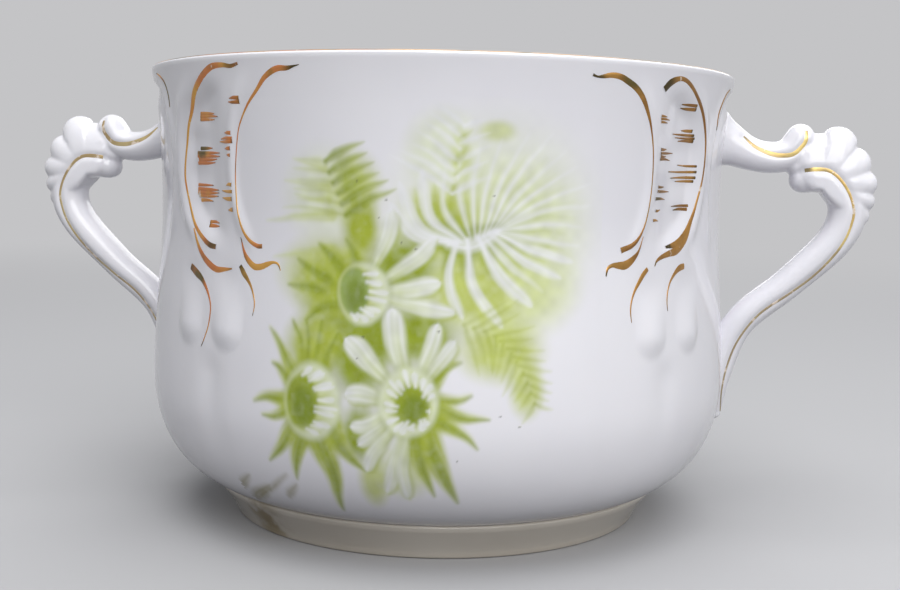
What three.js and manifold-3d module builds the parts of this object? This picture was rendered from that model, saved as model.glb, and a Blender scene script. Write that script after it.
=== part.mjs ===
// A two-handled bouillon cup in moulded porcelain: lobed bowl, foot ring, scroll handles, gilded lip.
// Millimetres, +Z up. The origin is the middle of the resting plane and the handles lie along X.

import * as THREE from 'three';
import { mergeVertices } from 'three/addons/utils/BufferGeometryUtils.js';
import Module from 'manifold-3d';

// Bowl outline; the waist and the belly are set in from the rim
const CUP_HEIGHT = 68.2;
const RIM_RADIUS = 45.2;
const WAIST_INSET = 1.5;
const WAIST_HEIGHT = 48;
const BELLY_INSET = 0.2;
const BELLY_HEIGHT = 22;
const TUCK_RADIUS = 28;
const TUCK_ROUNDNESS = 2.25;
const FLARE_POWER = 3;
const WALL_THICKNESS = 2.4;
const LIP_THICKNESS = 1.7;
const FLOOR_THICKNESS = 3;

// Foot ring and its flat seat under the bowl
const FOOT_HEIGHT = 5.2;
const FOOT_TOP_RADIUS = 34.3;
const FOOT_BOTTOM_RADIUS = 31.6;
const FOOT_WALL = 3;
const FOOT_EDGE_ROUND = 0.5;
const SEAT_DEPTH = 0.8;

// Gilded band on the lip
const BAND_HEIGHT = 0.5;

// Moulded corner columns: angles from the middle of the front panel, drops from the rim.
// The mould's panels stand a little turned against the line of the handles.
const PANEL_TURN = 8.5;
const COLUMN_START = 22;
const COLUMN_END = 68;
const FRONT_SCROLL_ROOT = 24.5;
const FRONT_SCROLL_CREST = 39.5;
const SIDE_SCROLL_ROOT = 39;
const SIDE_SCROLL_CREST = 57.5;
const PANEL_SCROLL_ROOT = 76;
const PANEL_SCROLL_CREST = 61.5;
const SCROLL_TOP_DROP = 2.2;
const SCROLL_BOTTOM_DROP = 26.4;
const SCROLL_SQUARENESS = 2.5;
const SCROLL_RIDGE = 0.4;
const SCROLL_RIDGE_WIDTH = 1.1;
const FLUTE_EDGE = 40.2;
const FLUTE_DEPTH = 1.1;
const FLUTE_SHOULDER = 5;
const TONGUE_ANGLES = [41, 52.8];
const TONGUE_TOP_DROP = 28;
const TONGUE_BOTTOM_DROP = 39.6;
const TONGUE_HALF_WIDTH = 3.2;
const TONGUE_RISE = 0.7;
const LOBE_DEPTH = 0.8;
const LOBE_FADE_DROP = 26;
const LOBE_FADE_HEIGHT = 12;

// Handle: reaches from the wall, rises and falls from the section before, half widths across the arm.
// The root hangs below the rim.
const SLIP_GAP = 0.3;
const ROOT_SINK = 1.6;
const ROOT_DROP = 8.6;
const ROOT_HALF = 3.8;
const SHOULDER_REACH = 3.6;
const SHOULDER_FALL = 2.5;
const SHOULDER_HALF = 2.6;
const NECK_REACH = 7.4;
const NECK_FALL = 0.7;
const NECK_HALF = 2.4;
const THROAT_REACH = 10;
const THROAT_RISE = 0.7;
const THROAT_HALF = 2.4;
const KNOB_REACH = 11.4;
const KNOB_RISE = 2.3;
const KNOB_HALF = 2.2;
const CURL_REACH = 12.2;
const CURL_FALL = 6.3;
const CURL_HALF = 2;
const BROW_REACH = 16.2;
const BROW_HALF = 2.2;
const ELBOW_REACH = 19.1;
const ELBOW_FALL = 4.2;
const ELBOW_HALF = 2.8;
const BEND_REACH = 17.4;
const BEND_FALL = 5;
const BEND_HALF = 2.7;
const ARM_REACH = 10.3;
const ARM_FALL = 6.8;
const ARM_HALF = 2.4;
const FOOTING_REACH = 2.7;
const FOOTING_FALL = 6.5;
const FOOTING_HALF = 2.3;
const TAIL_REACH = 0.1;
const TAIL_FALL = 8.1;
const TAIL_HALF = 1.4;
const TIP_REACH = 0.2;
const TIP_FALL = 6.1;
const TIP_HALF = 0.9;
const HANDLE_HALF_DEPTH = 3.1;
const TIP_HALF_DEPTH = 1.6;

// Shell thumb rest: a fan round an eye just below the curl, scalloped along its edge;
// angles from the outward direction
const SHELL_EYE_REACH = 14.9;
const SHELL_EYE_FALL = 0.9;
const SHELL_HALF_DEPTH = 3.4;
const SHELL_FULLNESS = 2.6;
const SADDLE_RADIUS = 8.2;
const SADDLE_ANGLE = 125;
const SCALLOP_EDGES = [86, 52, 17, -9, -27, -46];
const SCALLOP_CRESTS = [9.5, 8.5, 8.5, 8.6, 9];
const SCALLOP_DEPTH = 0.9;
const SCALLOP_GROOVE = 0.3;

// Facets
const COLUMN_STEPS = 16;
const PANEL_HALF_STEPS = 3;
const TUCK_ROWS = 8;
const WALL_ROWS = 24;
const INNER_ROWS = 9;
const BAND_STEPS = 4;
const RING_POINTS = 12;
const STATION_STEPS = 4;
const DOME_STEPS = 3;
const SCALLOP_STEPS = 5;
const SHELL_RINGS = 5;

const wasm = await Module();
wasm.setup();
const { degToRad, lerp, radToDeg, smoothstep } = THREE.MathUtils;
const waistRadius = RIM_RADIUS - WAIST_INSET;
const widestRadius = RIM_RADIUS - BELLY_INSET;
const lipHeight = CUP_HEIGHT - BAND_HEIGHT;
const floorHeight = FOOT_HEIGHT + FLOOR_THICKNESS;
const rootHeight = CUP_HEIGHT - ROOT_DROP;
const shoulderHeight = rootHeight - SHOULDER_FALL;
const neckHeight = shoulderHeight - NECK_FALL;
const throatHeight = neckHeight + THROAT_RISE;
const knobHeight = throatHeight + KNOB_RISE;
const curlHeight = knobHeight - CURL_FALL;
const elbowHeight = curlHeight - ELBOW_FALL;
const bendHeight = elbowHeight - BEND_FALL;
const armHeight = bendHeight - ARM_FALL;
const footingHeight = armHeight - FOOTING_FALL;
const tailHeight = footingHeight - TAIL_FALL;
const tipHeight = tailHeight - TIP_FALL;

// Height-to-radius curve of the belly, from where it runs out flat up to its widest point
function bellyRadius(height, bottom, widest) {
  const share = Math.min((BELLY_HEIGHT - height) / (BELLY_HEIGHT - bottom), 1);
  const rise = (1 - share ** TUCK_ROUNDNESS) ** (1 / TUCK_ROUNDNESS);
  return lerp(TUCK_RADIUS, widest, rise);
}

// Radius of the plain outer wall, before the moulded relief
function outerRadius(height) {
  if (height < BELLY_HEIGHT) {
    return bellyRadius(height, FOOT_HEIGHT - SEAT_DEPTH, widestRadius);
  }
  if (height < WAIST_HEIGHT) {
    const share = (height - BELLY_HEIGHT) / (WAIST_HEIGHT - BELLY_HEIGHT);
    return lerp(widestRadius, waistRadius, (1 - Math.cos(Math.PI * share)) / 2);
  }
  const share = (height - WAIST_HEIGHT) / (CUP_HEIGHT - WAIST_HEIGHT);
  return lerp(waistRadius, RIM_RADIUS, share ** FLARE_POWER);
}

// Radius of the smooth inner wall
function innerRadius(height) {
  if (height < BELLY_HEIGHT) {
    return bellyRadius(height, floorHeight, widestRadius - WALL_THICKNESS);
  }
  const share = (height - BELLY_HEIGHT) / (lipHeight - BELLY_HEIGHT);
  return outerRadius(height) - lerp(WALL_THICKNESS, LIP_THICKNESS, share);
}

// Signed distance to a C-scroll's crest, which is one half of a superellipse; negative inside it.
// The scroll bulges from its root towards its crest, to either side.
function scrollDistance(root, crest, across, drop) {
  const halfHeight = (SCROLL_BOTTOM_DROP - SCROLL_TOP_DROP) / 2;
  const reach = waistRadius * degToRad(Math.abs(crest - root));
  const run = Math.max((across - root) / (crest - root), 0);
  const fall = Math.abs(drop - SCROLL_TOP_DROP - halfHeight) / halfHeight;
  const field = run ** SCROLL_SQUARENESS + fall ** SCROLL_SQUARENESS - 1;
  const runSlope = run ** (SCROLL_SQUARENESS - 1) / reach;
  const fallSlope = fall ** (SCROLL_SQUARENESS - 1) / halfHeight;
  const slope = SCROLL_SQUARENESS * Math.hypot(runSlope, fallSlope);
  return field / Math.max(slope, 1 / halfHeight);
}

// Raised line along a scroll's crest
function scrollRidge(root, crest, across, drop) {
  const distance = scrollDistance(root, crest, across, drop) / SCROLL_RIDGE_WIDTH;
  const started = smoothstep((across - root) / (crest - root), 0, 0.5);
  return SCROLL_RIDGE * started * Math.exp(-distance * distance);
}

// Hollow between the column's straight edge and its side scroll
function fluteHollow(across, drop) {
  const fromEdge = waistRadius * degToRad(across - FLUTE_EDGE);
  const fromScroll = -scrollDistance(SIDE_SCROLL_ROOT, SIDE_SCROLL_CREST, across, drop);
  const edgeWall = smoothstep(fromEdge, 0, FLUTE_SHOULDER);
  const scrollWall = smoothstep(fromScroll, 0, FLUTE_SHOULDER);
  return FLUTE_DEPTH * edgeWall * scrollWall;
}

// Rounded tongue that hangs below the flute
function tongueRise(middle, across, drop) {
  const sideways = waistRadius * degToRad(across - middle);
  const below = Math.max(drop - TONGUE_BOTTOM_DROP + TONGUE_HALF_WIDTH, 0);
  const share = Math.hypot(sideways, below) / TONGUE_HALF_WIDTH;
  const started = smoothstep(drop, SCROLL_BOTTOM_DROP, TONGUE_TOP_DROP + TONGUE_HALF_WIDTH);
  return TONGUE_RISE * started * Math.max(1 - share * share, 0);
}

// Soft valley that parts the four plain panels
function lobeHollow(across, height) {
  const fromRim = smoothstep(CUP_HEIGHT - height, SCROLL_TOP_DROP, LOBE_FADE_DROP);
  const fromFoot = smoothstep(height - FOOT_HEIGHT, 0, LOBE_FADE_HEIGHT);
  return LOBE_DEPTH * fromRim * fromFoot * (1 - Math.cos(4 * degToRad(across))) / 2;
}

// Moulded relief of the outer wall, alike on all four corners of the mould
function relief(angle, height) {
  const turned = angle - degToRad(PANEL_TURN);
  const across = radToDeg(Math.atan2(Math.abs(Math.sin(turned)), Math.abs(Math.cos(turned))));
  const drop = CUP_HEIGHT - height;
  let rise = -lobeHollow(across, height) - fluteHollow(across, drop);
  rise += scrollRidge(FRONT_SCROLL_ROOT, FRONT_SCROLL_CREST, across, drop);
  rise += scrollRidge(SIDE_SCROLL_ROOT, SIDE_SCROLL_CREST, across, drop);
  rise += scrollRidge(PANEL_SCROLL_ROOT, PANEL_SCROLL_CREST, across, drop);
  for (const middle of TONGUE_ANGLES) {
    rise += tongueRise(middle, across, drop);
  }
  return rise * smoothstep(drop, BAND_HEIGHT, SCROLL_TOP_DROP);
}

// Turning angles round the cup, closer together over the moulded columns
function turningAngles() {
  const angles = [];
  for (let quarter = 0; quarter < 4; quarter += 1) {
    const marks = [0, COLUMN_START, COLUMN_END, 90];
    const steps = [PANEL_HALF_STEPS, COLUMN_STEPS, PANEL_HALF_STEPS];
    steps.forEach((count, part) => {
      for (let step = 0; step < count; step += 1) {
        const across = lerp(marks[part], marks[part + 1], step / count);
        angles.push(degToRad(PANEL_TURN + 90 * quarter + across));
      }
    });
  }
  return angles;
}

// Revolve a profile of radius and height, with an optional change of radius by angle and height
function revolve(profile, shift = () => 0) {
  const angles = turningAngles();
  const outline = profile.map(([radius, height]) => new THREE.Vector2(radius, height));
  const geometry = new THREE.LatheGeometry(outline, angles.length);
  const position = geometry.attributes.position;
  for (let index = 0; index < position.count; index += 1) {
    const point = index % profile.length;
    const angle = angles[Math.floor(index / profile.length) % angles.length];
    const [plainRadius, height, moulded] = profile[point];
    const radius = plainRadius + (moulded ? shift(angle, height) : 0);
    position.setXYZ(index, radius * Math.sin(angle), -radius * Math.cos(angle), height);
  }
  return geometry;
}

// Points of the outer wall from the foot's seat to the lip, marked as moulded
function outerWall(gap) {
  const heights = [];
  for (let row = 0; row < TUCK_ROWS; row += 1) {
    const turn = (row / TUCK_ROWS) * (Math.PI / 2);
    heights.push(lerp(BELLY_HEIGHT, FOOT_HEIGHT, Math.cos(turn)));
  }
  for (let row = 0; row <= WALL_ROWS; row += 1) {
    heights.push(lerp(BELLY_HEIGHT, lipHeight, row / WALL_ROWS));
  }
  return heights.map((height) => [outerRadius(height) + gap, height, true]);
}

// Points of the inner wall from the lip down to the floor
function innerWall() {
  const points = [];
  for (let row = 0; row <= INNER_ROWS; row += 1) {
    const turn = (row / INNER_ROWS) * (Math.PI / 2);
    const height = lerp(floorHeight, lipHeight, Math.cos(turn) ** 2);
    points.push([innerRadius(height), height]);
  }
  return points;
}

function bowlGeometry() {
  const profile = [[0, FOOT_HEIGHT], ...outerWall(0), ...innerWall(), [0, floorHeight]];
  return revolve(profile, relief);
}

// The bowl's outer form as a filled body, swollen by the slip gap, that the handles are cut against
function bowlEnvelope() {
  const profile = [[0, FOOT_HEIGHT], ...outerWall(SLIP_GAP), [0, lipHeight]];
  return revolve(profile, relief);
}

function footGeometry() {
  const inner = FOOT_BOTTOM_RADIUS - FOOT_WALL;
  const profile = [
    [inner + FOOT_EDGE_ROUND, 0],
    [FOOT_BOTTOM_RADIUS - FOOT_EDGE_ROUND, 0],
    [FOOT_BOTTOM_RADIUS, FOOT_EDGE_ROUND],
    [FOOT_TOP_RADIUS, FOOT_HEIGHT],
    [inner, FOOT_HEIGHT],
    [inner, FOOT_EDGE_ROUND],
    [inner + FOOT_EDGE_ROUND, 0],
  ];
  return revolve(profile);
}

// Half-round cap that sits on the flat of the lip
function bandGeometry() {
  const outer = outerRadius(lipHeight);
  const half = LIP_THICKNESS / 2;
  const profile = [];
  for (let step = 0; step <= BAND_STEPS; step += 1) {
    const turn = (Math.PI * step) / BAND_STEPS;
    profile.push([outer - half + half * Math.cos(turn), lipHeight + BAND_HEIGHT * Math.sin(turn)]);
  }
  profile.push(profile[0]);
  return revolve(profile);
}

// One cross-section of a handle: its place in the upright plane and its two half sizes
function station(reach, height, halfWidth, halfDepth = HANDLE_HALF_DEPTH) {
  const place = new THREE.Vector3(outerRadius(height) + reach, 0, height);
  return { place, half: new THREE.Vector3(halfWidth, halfDepth, 0) };
}

// Oval ring of points square to the handle's run
function ovalRing(centre, along, half) {
  const across = new THREE.Vector3(along.z, 0, -along.x);
  const ring = [];
  for (let point = 0; point < RING_POINTS; point += 1) {
    const turn = (2 * Math.PI * point) / RING_POINTS;
    const place = centre.clone().addScaledVector(across, half.x * Math.cos(turn));
    place.y += half.y * Math.sin(turn);
    ring.push(place);
  }
  return ring;
}

// Rings that round off an end, from its last full section outwards
function domeRings(centre, outward, along, half) {
  const rings = [];
  for (let step = 1; step < DOME_STEPS; step += 1) {
    const turn = (step / DOME_STEPS) * (Math.PI / 2);
    const place = centre.clone().addScaledVector(outward, half.x * Math.sin(turn));
    rings.push(ovalRing(place, along, half.clone().multiplyScalar(Math.cos(turn))));
  }
  return rings;
}

// Skin a row of rings and close both ends at the given points
function skin(rings, startPoint, endPoint) {
  const points = [...rings.flat(), startPoint, endPoint];
  const startIndex = points.length - 2;
  const endIndex = points.length - 1;
  const lastRing = (rings.length - 1) * RING_POINTS;
  const triangles = [];
  for (let point = 0; point < RING_POINTS; point += 1) {
    const next = (point + 1) % RING_POINTS;
    for (let ring = 0; ring + 1 < rings.length; ring += 1) {
      const near = ring * RING_POINTS;
      const far = near + RING_POINTS;
      triangles.push(near + point, near + next, far + point);
      triangles.push(near + next, far + next, far + point);
    }
    triangles.push(startIndex, next, point);
    triangles.push(endIndex, lastRing + point, lastRing + next);
  }
  const geometry = new THREE.BufferGeometry().setFromPoints(points);
  geometry.setIndex(triangles);
  return geometry;
}

// Loft a scroll through its stations, with a dome on each end that asks for one
function loftScroll(stations, domedStart, domedEnd) {
  const path = new THREE.CatmullRomCurve3(stations.map((each) => each.place));
  const sizes = new THREE.CatmullRomCurve3(stations.map((each) => each.half));
  const count = (stations.length - 1) * STATION_STEPS;
  const rings = [];
  for (let step = 0; step <= count; step += 1) {
    const share = step / count;
    rings.push(ovalRing(path.getPoint(share), path.getTangent(share), sizes.getPoint(share)));
  }
  let startPoint = path.getPoint(0);
  let endPoint = path.getPoint(1);
  if (domedStart) {
    const along = path.getTangent(0);
    const half = sizes.getPoint(0);
    const outward = along.clone().negate();
    rings.unshift(...domeRings(startPoint, outward, along, half).reverse());
    startPoint = startPoint.clone().addScaledVector(outward, half.x);
  }
  if (domedEnd) {
    const along = path.getTangent(1);
    const half = sizes.getPoint(1);
    rings.push(...domeRings(endPoint, along, along, half));
    endPoint = endPoint.clone().addScaledVector(along, half.x);
  }
  return skin(rings, startPoint, endPoint);
}

// Upper S-scroll: out of the wall, down through its neck and up into a knob
function upperScroll() {
  const stations = [
    station(-ROOT_SINK, rootHeight, ROOT_HALF),
    station(SHOULDER_REACH, shoulderHeight, SHOULDER_HALF),
    station(NECK_REACH, neckHeight, NECK_HALF),
    station(THROAT_REACH, throatHeight, THROAT_HALF),
    station(KNOB_REACH, knobHeight, KNOB_HALF),
  ];
  return loftScroll(stations, false, true);
}

// Main C-scroll: from its inner curl round the elbow and down to the tail on the wall
function lowerScroll() {
  const stations = [
    station(CURL_REACH, curlHeight, CURL_HALF),
    station(BROW_REACH, curlHeight, BROW_HALF),
    station(ELBOW_REACH, elbowHeight, ELBOW_HALF),
    station(BEND_REACH, bendHeight, BEND_HALF),
    station(ARM_REACH, armHeight, ARM_HALF),
    station(FOOTING_REACH, footingHeight, FOOTING_HALF),
    station(TAIL_REACH, tailHeight, TAIL_HALF, (HANDLE_HALF_DEPTH + TIP_HALF_DEPTH) / 2),
    station(TIP_REACH, tipHeight, TIP_HALF, TIP_HALF_DEPTH),
  ];
  return loftScroll(stations, true, true);
}

// Spokes of the fan across the saddle and each scallop: angle, edge radius and nearness to a groove
function shellSpokes() {
  const spokes = [];
  for (let step = 0; step < SCALLOP_STEPS; step += 1) {
    const angle = lerp(SADDLE_ANGLE, SCALLOP_EDGES[0], step / SCALLOP_STEPS);
    spokes.push({ angle: degToRad(angle), radius: SADDLE_RADIUS, groove: 1 });
  }
  const widest = SCALLOP_EDGES[0] - SCALLOP_EDGES[1];
  SCALLOP_CRESTS.forEach((crest, lobe) => {
    const depth = SCALLOP_DEPTH * ((SCALLOP_EDGES[lobe] - SCALLOP_EDGES[lobe + 1]) / widest);
    for (let step = 0; step < SCALLOP_STEPS; step += 1) {
      const share = step / SCALLOP_STEPS;
      const angle = lerp(SCALLOP_EDGES[lobe], SCALLOP_EDGES[lobe + 1], share);
      const groove = (2 * share - 1) ** 2;
      spokes.push({ angle: degToRad(angle), radius: crest - depth * groove, groove });
    }
  });
  return spokes;
}

// Two-sided shell whose thickness runs out at its scalloped edge, with a groove between scallops
function shellFan() {
  const eye = station(SHELL_EYE_REACH, curlHeight - SHELL_EYE_FALL, 0).place;
  const points = [];
  const edge = shellSpokes();
  for (const { angle, radius, groove } of edge) {
    for (let ring = 0; ring <= SHELL_RINGS; ring += 1) {
      const share = ring / SHELL_RINGS;
      const swell = 1 - SCALLOP_GROOVE * groove * share ** SHELL_FULLNESS;
      const depth = SHELL_HALF_DEPTH * swell * (1 - share ** SHELL_FULLNESS) ** (1 / SHELL_FULLNESS);
      const away = new THREE.Vector3(Math.cos(angle), 0, Math.sin(angle)).multiplyScalar(share * radius);
      const middle = eye.clone().add(away);
      points.push(middle.clone().setY(-depth), middle.clone().setY(depth));
    }
  }
  const stride = 2 * (SHELL_RINGS + 1);
  const triangles = [];
  for (let ring = 0; ring < SHELL_RINGS; ring += 1) {
    const near = 2 * ring;
    const far = near + 2;
    for (let spoke = 0; spoke + 1 < edge.length; spoke += 1) {
      const first = spoke * stride;
      const second = first + stride;
      triangles.push(first + near, second + far, first + far, first + near, second + near, second + far);
      triangles.push(first + near + 1, first + far + 1, second + far + 1);
      triangles.push(first + near + 1, second + far + 1, second + near + 1);
    }
    const last = (edge.length - 1) * stride;
    triangles.push(near, far, far + 1, near, far + 1, near + 1);
    triangles.push(last + near, last + far + 1, last + far, last + near, last + near + 1, last + far + 1);
  }
  const geometry = new THREE.BufferGeometry().setFromPoints(points);
  geometry.setIndex(triangles);
  return geometry;
}

// A closed geometry as a solid that can be joined and cut
function toSolid(geometry) {
  const bare = geometry.clone();
  bare.deleteAttribute('normal');
  bare.deleteAttribute('uv');
  const merged = mergeVertices(bare);
  const corners = Array.from(merged.index.array);
  const triangles = [];
  for (let corner = 0; corner < corners.length; corner += 3) {
    const [first, second, third] = corners.slice(corner, corner + 3);
    if (first !== second && second !== third && third !== first) {
      triangles.push(first, second, third);
    }
  }
  const vertProperties = new Float32Array(merged.attributes.position.array);
  const triVerts = new Uint32Array(triangles);
  return new wasm.Manifold(new wasm.Mesh({ numProp: 3, vertProperties, triVerts }));
}

function toGeometry(solid) {
  const mesh = solid.getMesh();
  const geometry = new THREE.BufferGeometry();
  geometry.setAttribute('position', new THREE.BufferAttribute(mesh.vertProperties, 3));
  geometry.setIndex(new THREE.BufferAttribute(mesh.triVerts, 1));
  return geometry;
}

function handleGeometry() {
  const scrolls = toSolid(upperScroll()).add(toSolid(lowerScroll()));
  const whole = scrolls.add(toSolid(shellFan()));
  return toGeometry(whole.subtract(toSolid(bowlEnvelope())));
}

function piece(name, geometry, material) {
  const mesh = new THREE.Mesh(geometry, material);
  mesh.name = name;
  return mesh;
}

const porcelain = { color: 0xeceaf0, roughness: 0.15, metalness: 0 };
const footPorcelain = { color: 0xe4e0d6, roughness: 0.2, metalness: 0 };
const gold = { color: 0xc79a3a, roughness: 0.3, metalness: 1 };

const cup = new THREE.Group();
const handle = handleGeometry();
const leftHandle = piece('handle_left', handle, new THREE.MeshStandardMaterial(porcelain));
leftHandle.rotation.z = Math.PI;
cup.add(piece('bowl', bowlGeometry(), new THREE.MeshStandardMaterial(porcelain)));
cup.add(piece('foot_ring', footGeometry(), new THREE.MeshStandardMaterial(footPorcelain)));
cup.add(piece('handle_right', handle, new THREE.MeshStandardMaterial(porcelain)));
cup.add(leftHandle);
cup.add(piece('rim_gilding', bandGeometry(), new THREE.MeshStandardMaterial(gold)));

export default cup;
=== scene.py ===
"""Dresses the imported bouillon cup: glazed porcelain, gilt scrolls and a printed flower spray.

Sizes are in millimetres until a mesh is written; the meshes are in metres, in the frame of the CAD.
Bearings run round the cup in degrees, from the front (-Y) towards the right handle (+X).
"""

import logging
import math
from contextlib import contextmanager
from dataclasses import dataclass, field
from enum import Enum
from typing import Iterator, Sequence

import bpy
import numpy as np
from mathutils import Matrix, Vector


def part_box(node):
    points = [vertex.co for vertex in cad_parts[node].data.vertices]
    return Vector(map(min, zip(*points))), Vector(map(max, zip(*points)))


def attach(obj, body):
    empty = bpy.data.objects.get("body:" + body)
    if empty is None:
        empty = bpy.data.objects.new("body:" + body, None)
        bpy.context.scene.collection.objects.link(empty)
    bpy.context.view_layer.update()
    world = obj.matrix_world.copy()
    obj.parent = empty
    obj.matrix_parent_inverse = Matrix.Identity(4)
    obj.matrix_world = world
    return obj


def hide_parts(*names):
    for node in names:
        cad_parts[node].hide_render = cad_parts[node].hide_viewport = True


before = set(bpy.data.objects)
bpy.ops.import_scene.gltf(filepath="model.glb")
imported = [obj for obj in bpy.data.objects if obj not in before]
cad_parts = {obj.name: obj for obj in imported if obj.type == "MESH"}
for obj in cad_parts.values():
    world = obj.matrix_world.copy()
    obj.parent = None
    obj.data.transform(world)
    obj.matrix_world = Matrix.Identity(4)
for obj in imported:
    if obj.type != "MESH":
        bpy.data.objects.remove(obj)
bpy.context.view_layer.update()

MM = 0.001
BODY = "root"
DEGREE = 0.763          # arc of one degree of bearing at the columns
WELD = 0.001            # vertices this close are merged
POOL = "pool"           # mesh attribute: 1 where a stroke's gold is thick
SPRAY = "spray"         # mesh attribute: colour and cover of the print
LOG = logging.getLogger("bouillon_cup")

Array = np.ndarray
Socket = bpy.types.NodeSocket
Node = bpy.types.Node
Object = bpy.types.Object
Material = bpy.types.Material
Colour = tuple[float, ...]
Pair = tuple[float, float]
Triple = tuple[float, float, float]
Line = tuple[Triple, ...]
Rows = tuple[tuple[float, ...], ...]
Streaks = tuple[tuple[Pair, Pair, float], ...]


class Side(Enum):
    """Which half of a panel a column stands on, seen from outside."""

    LEFT = -1
    RIGHT = 1


class Panel(Enum):
    """The two large panels, by the bearing of their middle before the mould's turn."""

    FRONT = 0
    BACK = 180


class Slot(Enum):
    """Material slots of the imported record."""

    PORCELAIN = "porcelain"
    FOOT = "foot_porcelain"
    GILDING = "gilding"


def levels(node: str) -> Pair:
    """Lowest and highest level of a CAD node."""
    low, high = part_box(node)
    return low[2] / MM, high[2] / MM


def soft_step(value: Array, start: float, end: float) -> Array:
    """Smooth rise from 0 at start to 1 at end."""
    share = np.clip((np.asarray(value, float) - start) / (end - start), 0, 1)
    return share * share * (3 - 2 * share)


def linear(*channels: int) -> Colour:
    """Scene colour of an 8-bit display colour, with an alpha of 1."""
    shares = [channel / 255 for channel in channels]
    return (*(s / 12.92 if s <= 0.04045 else ((s + 0.055) / 1.055) ** 2.4 for s in shares), 1.0)


def smooth_line(points: Sequence[Sequence[float]], count: int, fineness: int = 24) -> Array:
    """Smooth curve through a few points, sampled evenly along its first two columns.

    Args:
        points: Rows whose first two numbers are the place; others ride along.
        count: Number of samples.
        fineness: Steps from point to point before the even sampling.

    Returns:
        The sampled rows.
    """
    knots = np.asarray(points, float)
    rows = np.vstack([2 * knots[0] - knots[1], knots, 2 * knots[-1] - knots[-2]])
    share = np.linspace(0, 1, fineness, endpoint=False)[:, None]
    pieces = []
    for first, second, third, fourth in zip(rows, rows[1:], rows[2:], rows[3:]):
        bend = 2 * first - 5 * second + 4 * third - fourth
        twist = 3 * second - first - 3 * third + fourth
        pieces.append(second + 0.5 * (share * (third - first) + share**2 * bend + share**3 * twist))
    line = np.vstack([*pieces, knots[-1:]])
    run = np.concatenate([[0], np.cumsum(np.linalg.norm(np.diff(line[:, :2], axis=0), axis=1))])
    wanted = np.linspace(0, run[-1], count)
    return np.column_stack([np.interp(wanted, run, column) for column in line.T])


def headings(line: Array) -> Array:
    """Unit directions along the first two columns of a sampled line."""
    along = np.gradient(line[:, :2], axis=0)
    return along / np.linalg.norm(along, axis=1)[:, None]


def bearings(points: Array) -> Array:
    """Bearings of points round the cup."""
    return np.degrees(np.arctan2(points[:, 0], -points[:, 1]))


def round_cup(bearing: Array, radius: Array, height: Array) -> Array:
    """Points at bearings and radii round the cup's axis, one row each."""
    turn = np.radians(bearing)
    return np.column_stack([radius * np.sin(turn), -radius * np.cos(turn), height])


def deselect() -> None:
    """Deselect every object."""
    bpy.ops.object.select_all(action="DESELECT")


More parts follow.
